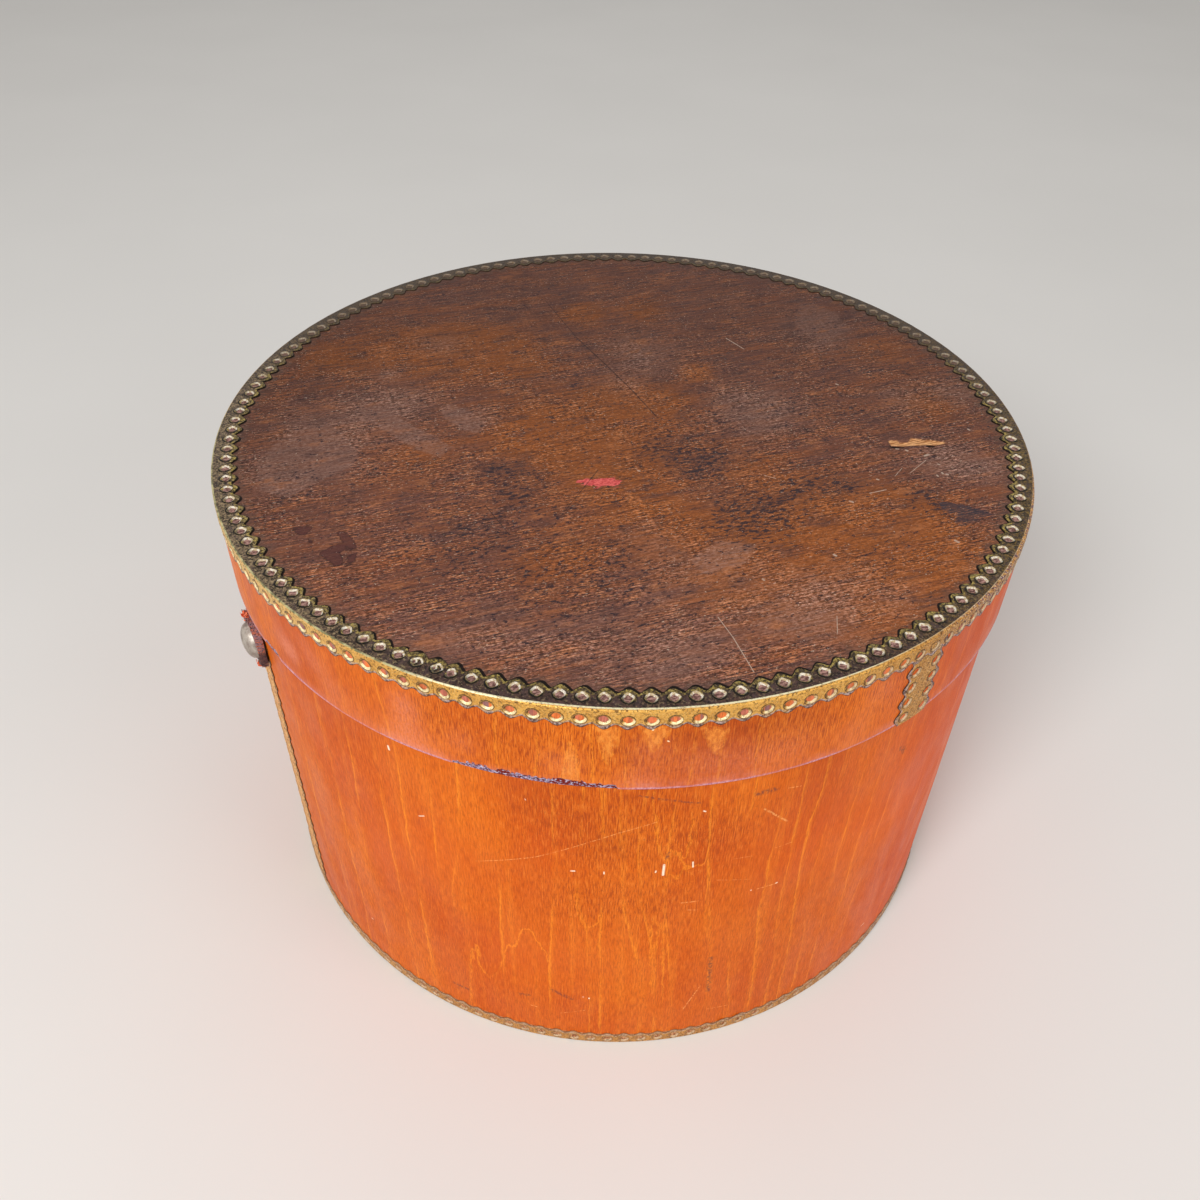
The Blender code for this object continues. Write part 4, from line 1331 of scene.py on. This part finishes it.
def torn_fibres(side, azimuth, bore, material, rng):
    """Short fibres that stand out of the leather's torn edges, the first of them in tufts."""
    points, faces, tuft = [], [], []
    clumps = ((-8.0, 9.2, 3.0), (6.5, -9.0, 3.3), (-6.0, 9.4, 2.2))
    for number in range(FIBRES):
        if number < TUFT_FIBRES:
            middle, high = clumps[number % 3], 4.3
            start = Vector([value + rng.gauss(0, 0.95) for value in middle])
            above, length, thick = middle[1] > 0, rng.uniform(0.5, 1.6), rng.uniform(0.25, 0.55)
        else:
            above, high = rng.random() < 0.55, 3.4
            across = rng.gauss(-6.0 if above else 3.0, 4.0)
            across = max(-10.6, min(10.6, across))
            start = Vector((across, (9.2 if above else -9.2) + rng.uniform(-0.6, 0.4),
                            rng.uniform(0.5, 3.0)))
            length, thick = rng.uniform(0.8, 2.0), rng.uniform(0.10, 0.26)
        lean = Vector((rng.gauss(0, 0.7), 1.0 if above else -1.0, rng.gauss(0.2, 0.6))).normalized()
        curl = Vector((rng.gauss(0, 0.5), 0.0, rng.gauss(0, 0.5)))
        rings = []
        for k in range(4):
            share = k / 4
            middle = start + lean * length * share + curl * share * share
            ring = []
            for turn in range(4):
                swing = turn * math.pi / 2
                off = Vector((math.cos(swing), 0.0, math.sin(swing))) * thick * (1 - share * 0.8)
                spot = middle + off
                ring.append(len(points))
                tuft.append(number < TUFT_FIBRES)
                points.append(polar(bore + max(0.1, min(spot.z, high)),
                                    azimuth + math.degrees(spot.x / bore), STUD_LEVEL + spot.y))
            rings.append(ring)
        for low, high in zip(rings, rings[1:]):
            for t in range(4):
                u = (t + 1) % 4
                faces.append((low[t], high[t], high[u], low[u]))
        faces += [tuple(rings[0]), tuple(reversed(rings[-1]))]
    new_mesh("strap_fibres_" + side, points, faces, material, "box", "strap_leather",
             tuft=tuft)


def base_ply():
    f = Finish("base_ply", roughness=0.6)
    here = f.here()
    grain = here.grain(0.015, 0.6, 4, 0.6)
    pores = here.grain(0.3, 2, 2)
    colour = grain.ramp(0.3, 0.7).mix((170, 122, 74), (212, 170, 116))
    f.set(base_color=pores.ramp(0.58, 0.7, 0, 0.5).mix(colour, (112, 74, 42)))
    f.bump(grain, 0.0002, 0.5)
    return f.material


def build_wood():
    wall_skin = varnished_ply("wall_ply", (204, 84, 8), (220, 106, 12), thickness=3.0,
                              figured=0.80, rough=1.05, marks=wall_marks)
    rim_skin = varnished_ply("rim_ply", (204, 86, 12), (226, 114, 20), thickness=2.4,
                             figured=0.80, rough=1.2, marks=rim_marks)

    def wall_field(arcs, heights):
        found = figure_field(arcs, heights, WALL_RADIUS, BODY_JOINT, WALL_FIGURE, WALL_ARCHES,
                             spacing=(9, 22), seed=4)
        found["tone"] = patches(np.column_stack((arcs, heights)), WALL_TONES,
                                lambda pixel: arc_point(pixel, WALL_RADIUS, BODY_JOINT))
        return found

    def rim_field(arcs, heights):
        found = figure_field(arcs, heights, RIM_RADIUS, LID_JOINT, (), RIM_ARCHES,
                             spacing=(10, 30), seed=9)
        flat = np.column_stack((arcs, heights))
        for mark, spots in (("rub", RIM_RUBS_AND_SHEEN), ("stain", HOLE_STAINS), ("tone", RIM_TONES)):
            found[mark] = patches(flat, spots,
                                  lambda pixel: arc_point(pixel, RIM_RADIUS, LID_JOINT))
        return found

    levels = np.linspace(WALL_TOP - 0.5, WOOD_FOOT + 0.5, 110)
    wall = hoop("wall_hoop", WALL_RADIUS, WALL_BORE, levels, 0.5, BODY_JOINT, wall_field,
                wall_skin, "box", "wall_ply", 720)
    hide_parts("body_wall")
    chips = []
    for left, right, tall, redness in RIM_CHIPS:
        ends = [on_wall((x, float(np.interp(x, (268, 279, 451, 619), (644, 658, 762, 789)))),
                        RIM_RADIUS)[0] for x in (left, right)]
        chips.append((*ends, tall, redness))
    levels = np.concatenate((np.linspace(WOOD_TOP - 0.5, RIM_FOOT + 6.0, 16),
                             np.linspace(RIM_FOOT + 5.5, RIM_FOOT + 1.3, 11)))
    rim = hoop("rim_hoop", RIM_RADIUS, RIM_BORE, levels, 1.3, LID_JOINT, rim_field,
               rim_skin, "lid", "rim_ply", 1440, chips)
    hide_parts("lid_rim")
    lid_panel(top_ply())
    disc = [(BASE_RADIUS - 0.4, BASE_TOP), (BASE_RADIUS, BASE_TOP - 0.4),
            (BASE_RADIUS, WOOD_FOOT + 0.4), (BASE_RADIUS - 0.4, WOOD_FOOT), (0.0, WOOD_FOOT),
            (0.0, BASE_TOP)]
    base = lathe("base_disc", disc, 240, base_ply(), "box", "wall_ply")
    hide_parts("base_panel")


def build_brass():
    back = ((52, 40, 30), (78, 62, 46))
    dull = ((60, 48, 34), (100, 84, 54))
    lid_skin = worn_brass(
        "lid_brass", (((48, 32, 28), (88, 64, 54)), ((48, 38, 28), (150, 128, 100)),
                      ((44, 32, 22), (124, 98, 52)), back),
        ((228, 174, 86), (214, 158, 76), (194, 172, 170), (82, 60, 68),
         (236, 204, 140)),
        ((250, 232, 182), (62, 42, 38)), (240, 230, 190), 1.0)
    foot_skin = worn_brass(
        "foot_brass", (dull, dull, dull, back),
        ((212, 152, 80), (194, 138, 78), (206, 178, 152), (160, 126, 98), (196, 152, 104)),
        ((214, 184, 150), (160, 120, 86)), (206, 178, 128), 0.5)
    strip_skin = worn_brass(
        "strip_brass", (dull, dull, dull, back),
        ((240, 174, 100), (224, 156, 90), (198, 140, 90), (74, 48, 34), (240, 174, 102)),
        ((236, 190, 130), (44, 30, 22)), (206, 178, 128), 0.5)
    binding = punched_strip(
        "lid_edge_brass", LID_SCALLOPS, LID_PITCH,
        {-1: (LID_FLAT_LEG, SCALLOP_DEPTH, SCALLOP_POWER, 0.13), 1: (LID_SIDE_LEG, 2.7, 1.9, 0.04)},
        over_edge(RIM_RADIUS, WOOD_TOP, 1, LID_START, lid_slip),
        binding_level(RIM_RADIUS, LID_START, LID_PITCH, LID_SCALLOPS, LID_JOINT),
        True, lid_skin, "lid", "lid_brass", seed=11, lead=lid_lead)
    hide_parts("lid_binding")
    binding = punched_strip(
        "foot_edge_brass", FOOT_SCALLOPS, FOOT_PITCH,
        {-1: (FOOT_FLAT_LEG, 2.7, 1.6, 0.06), 1: (FOOT_SIDE_LEG, 2.5, 1.8, 0.05)},
        over_edge(WALL_RADIUS, WOOD_FOOT, -1, FOOT_START),
        binding_level(WALL_RADIUS, FOOT_START, FOOT_PITCH, FOOT_SCALLOPS, BODY_JOINT),
        False, foot_skin, "box", "foot_brass", seed=12)
    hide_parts("foot_binding")
    strip = upright_strip("lid_joint_brass", RIM_RADIUS, LID_JOINT, RIM_FOOT + 0.1, 5, 8.88,
                          lambda z: smooth(z, 245.0, 247.5), lid_skin, "lid", "lid_brass",
                          seed=13)
    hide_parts("lid_joint_strip")
    strip = upright_strip("body_joint_brass", WALL_RADIUS, BODY_JOINT, 3.0, 22, 8.95,
                          lambda z: 1 - smooth(z, 10.5, 13.0), strip_skin, "box", "foot_brass",
                          seed=14)
    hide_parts("body_joint_strip")


def build_stage():
    """A pale floor, a soft studio and the photograph's camera."""
    scene = bpy.context.scene
    scene.view_settings.view_transform = "Standard"
    f = Finish("pale_floor", roughness=0.9, specular_ior_level=0.1)
    f.set(base_color=f.here().noise(0.004).mix((226, 224, 221), (232, 230, 227)))
    mesh = bpy.data.meshes.new("floor")
    reach = 12.0
    mesh.from_pydata([(-reach, -reach, 0), (reach, -reach, 0), (reach, reach, 0),
                      (-reach, reach, 0)], [], [(0, 1, 2, 3)])
    mesh.materials.append(f.material)
    floor = bpy.data.objects.new("floor", mesh)
    scene.collection.objects.link(floor)

    world = bpy.data.worlds.new("studio")
    scene.world = world
    world.use_nodes = True
    nodes, links = world.node_tree.nodes, world.node_tree.links
    nodes["Background"].inputs["Color"].default_value = (1.0, 0.98, 0.95, 1.0)
    nodes["Background"].inputs["Strength"].default_value = 0.45
    white = nodes.new("ShaderNodeBackground")
    white.inputs["Strength"].default_value = 1.0
    rays = nodes.new("ShaderNodeLightPath")
    choose = nodes.new("ShaderNodeMixShader")
    seen = nodes.new("ShaderNodeMath")
    seen.operation = "MAXIMUM"
    links.new(rays.outputs["Is Camera Ray"], seen.inputs[0])
    links.new(rays.outputs["Is Glossy Ray"], seen.inputs[1])
    links.new(seen.outputs[0], choose.inputs["Fac"])
    links.new(nodes["Background"].outputs[0], choose.inputs[1])
    links.new(white.outputs[0], choose.inputs[2])
    links.new(choose.outputs[0], nodes["World Output"].inputs["Surface"])

    for name, place, size, power in (
            ("key", (-0.9, -1.7, 1.7), 0.9, 40.0),
            ("fill", (1.5, -1.1, 1.0), 1.2, 8.0),
            ("back", (0.3, 1.6, 1.9), 1.6, 3.5)):
        lamp = bpy.data.lights.new(name, "AREA")
        lamp.shape = "DISK"
        lamp.size = size
        lamp.energy = power
        light = bpy.data.objects.new(name, lamp)
        light.location = place
        aim = Vector((0.0, 0.0, 0.15)) - Vector(place)
        light.rotation_euler = aim.to_track_quat("-Z", "Y").to_euler()
        scene.collection.objects.link(light)

    right, up, forward = camera_axes()
    turn = Matrix((right, up, -forward)).transposed().to_4x4()
    lens = bpy.data.cameras.new("camera")
    lens.sensor_width = SENSOR_WIDTH
    lens.lens = FOCAL_PIXELS / IMAGE_WIDTH * SENSOR_WIDTH
    lens.clip_start = 0.01
    camera = bpy.data.objects.new("camera", lens)
    camera.matrix_world = Matrix.Translation(CAMERA_PLACE * MM) @ turn
    scene.collection.objects.link(camera)
    scene.camera = camera


build_stage()
build_wood()
build_brass()
skins = (leather(), fibres(), nickel())
strap_end("left", BODY_JOINT, skins)
strap_end("right", BODY_JOINT - 180, skins)
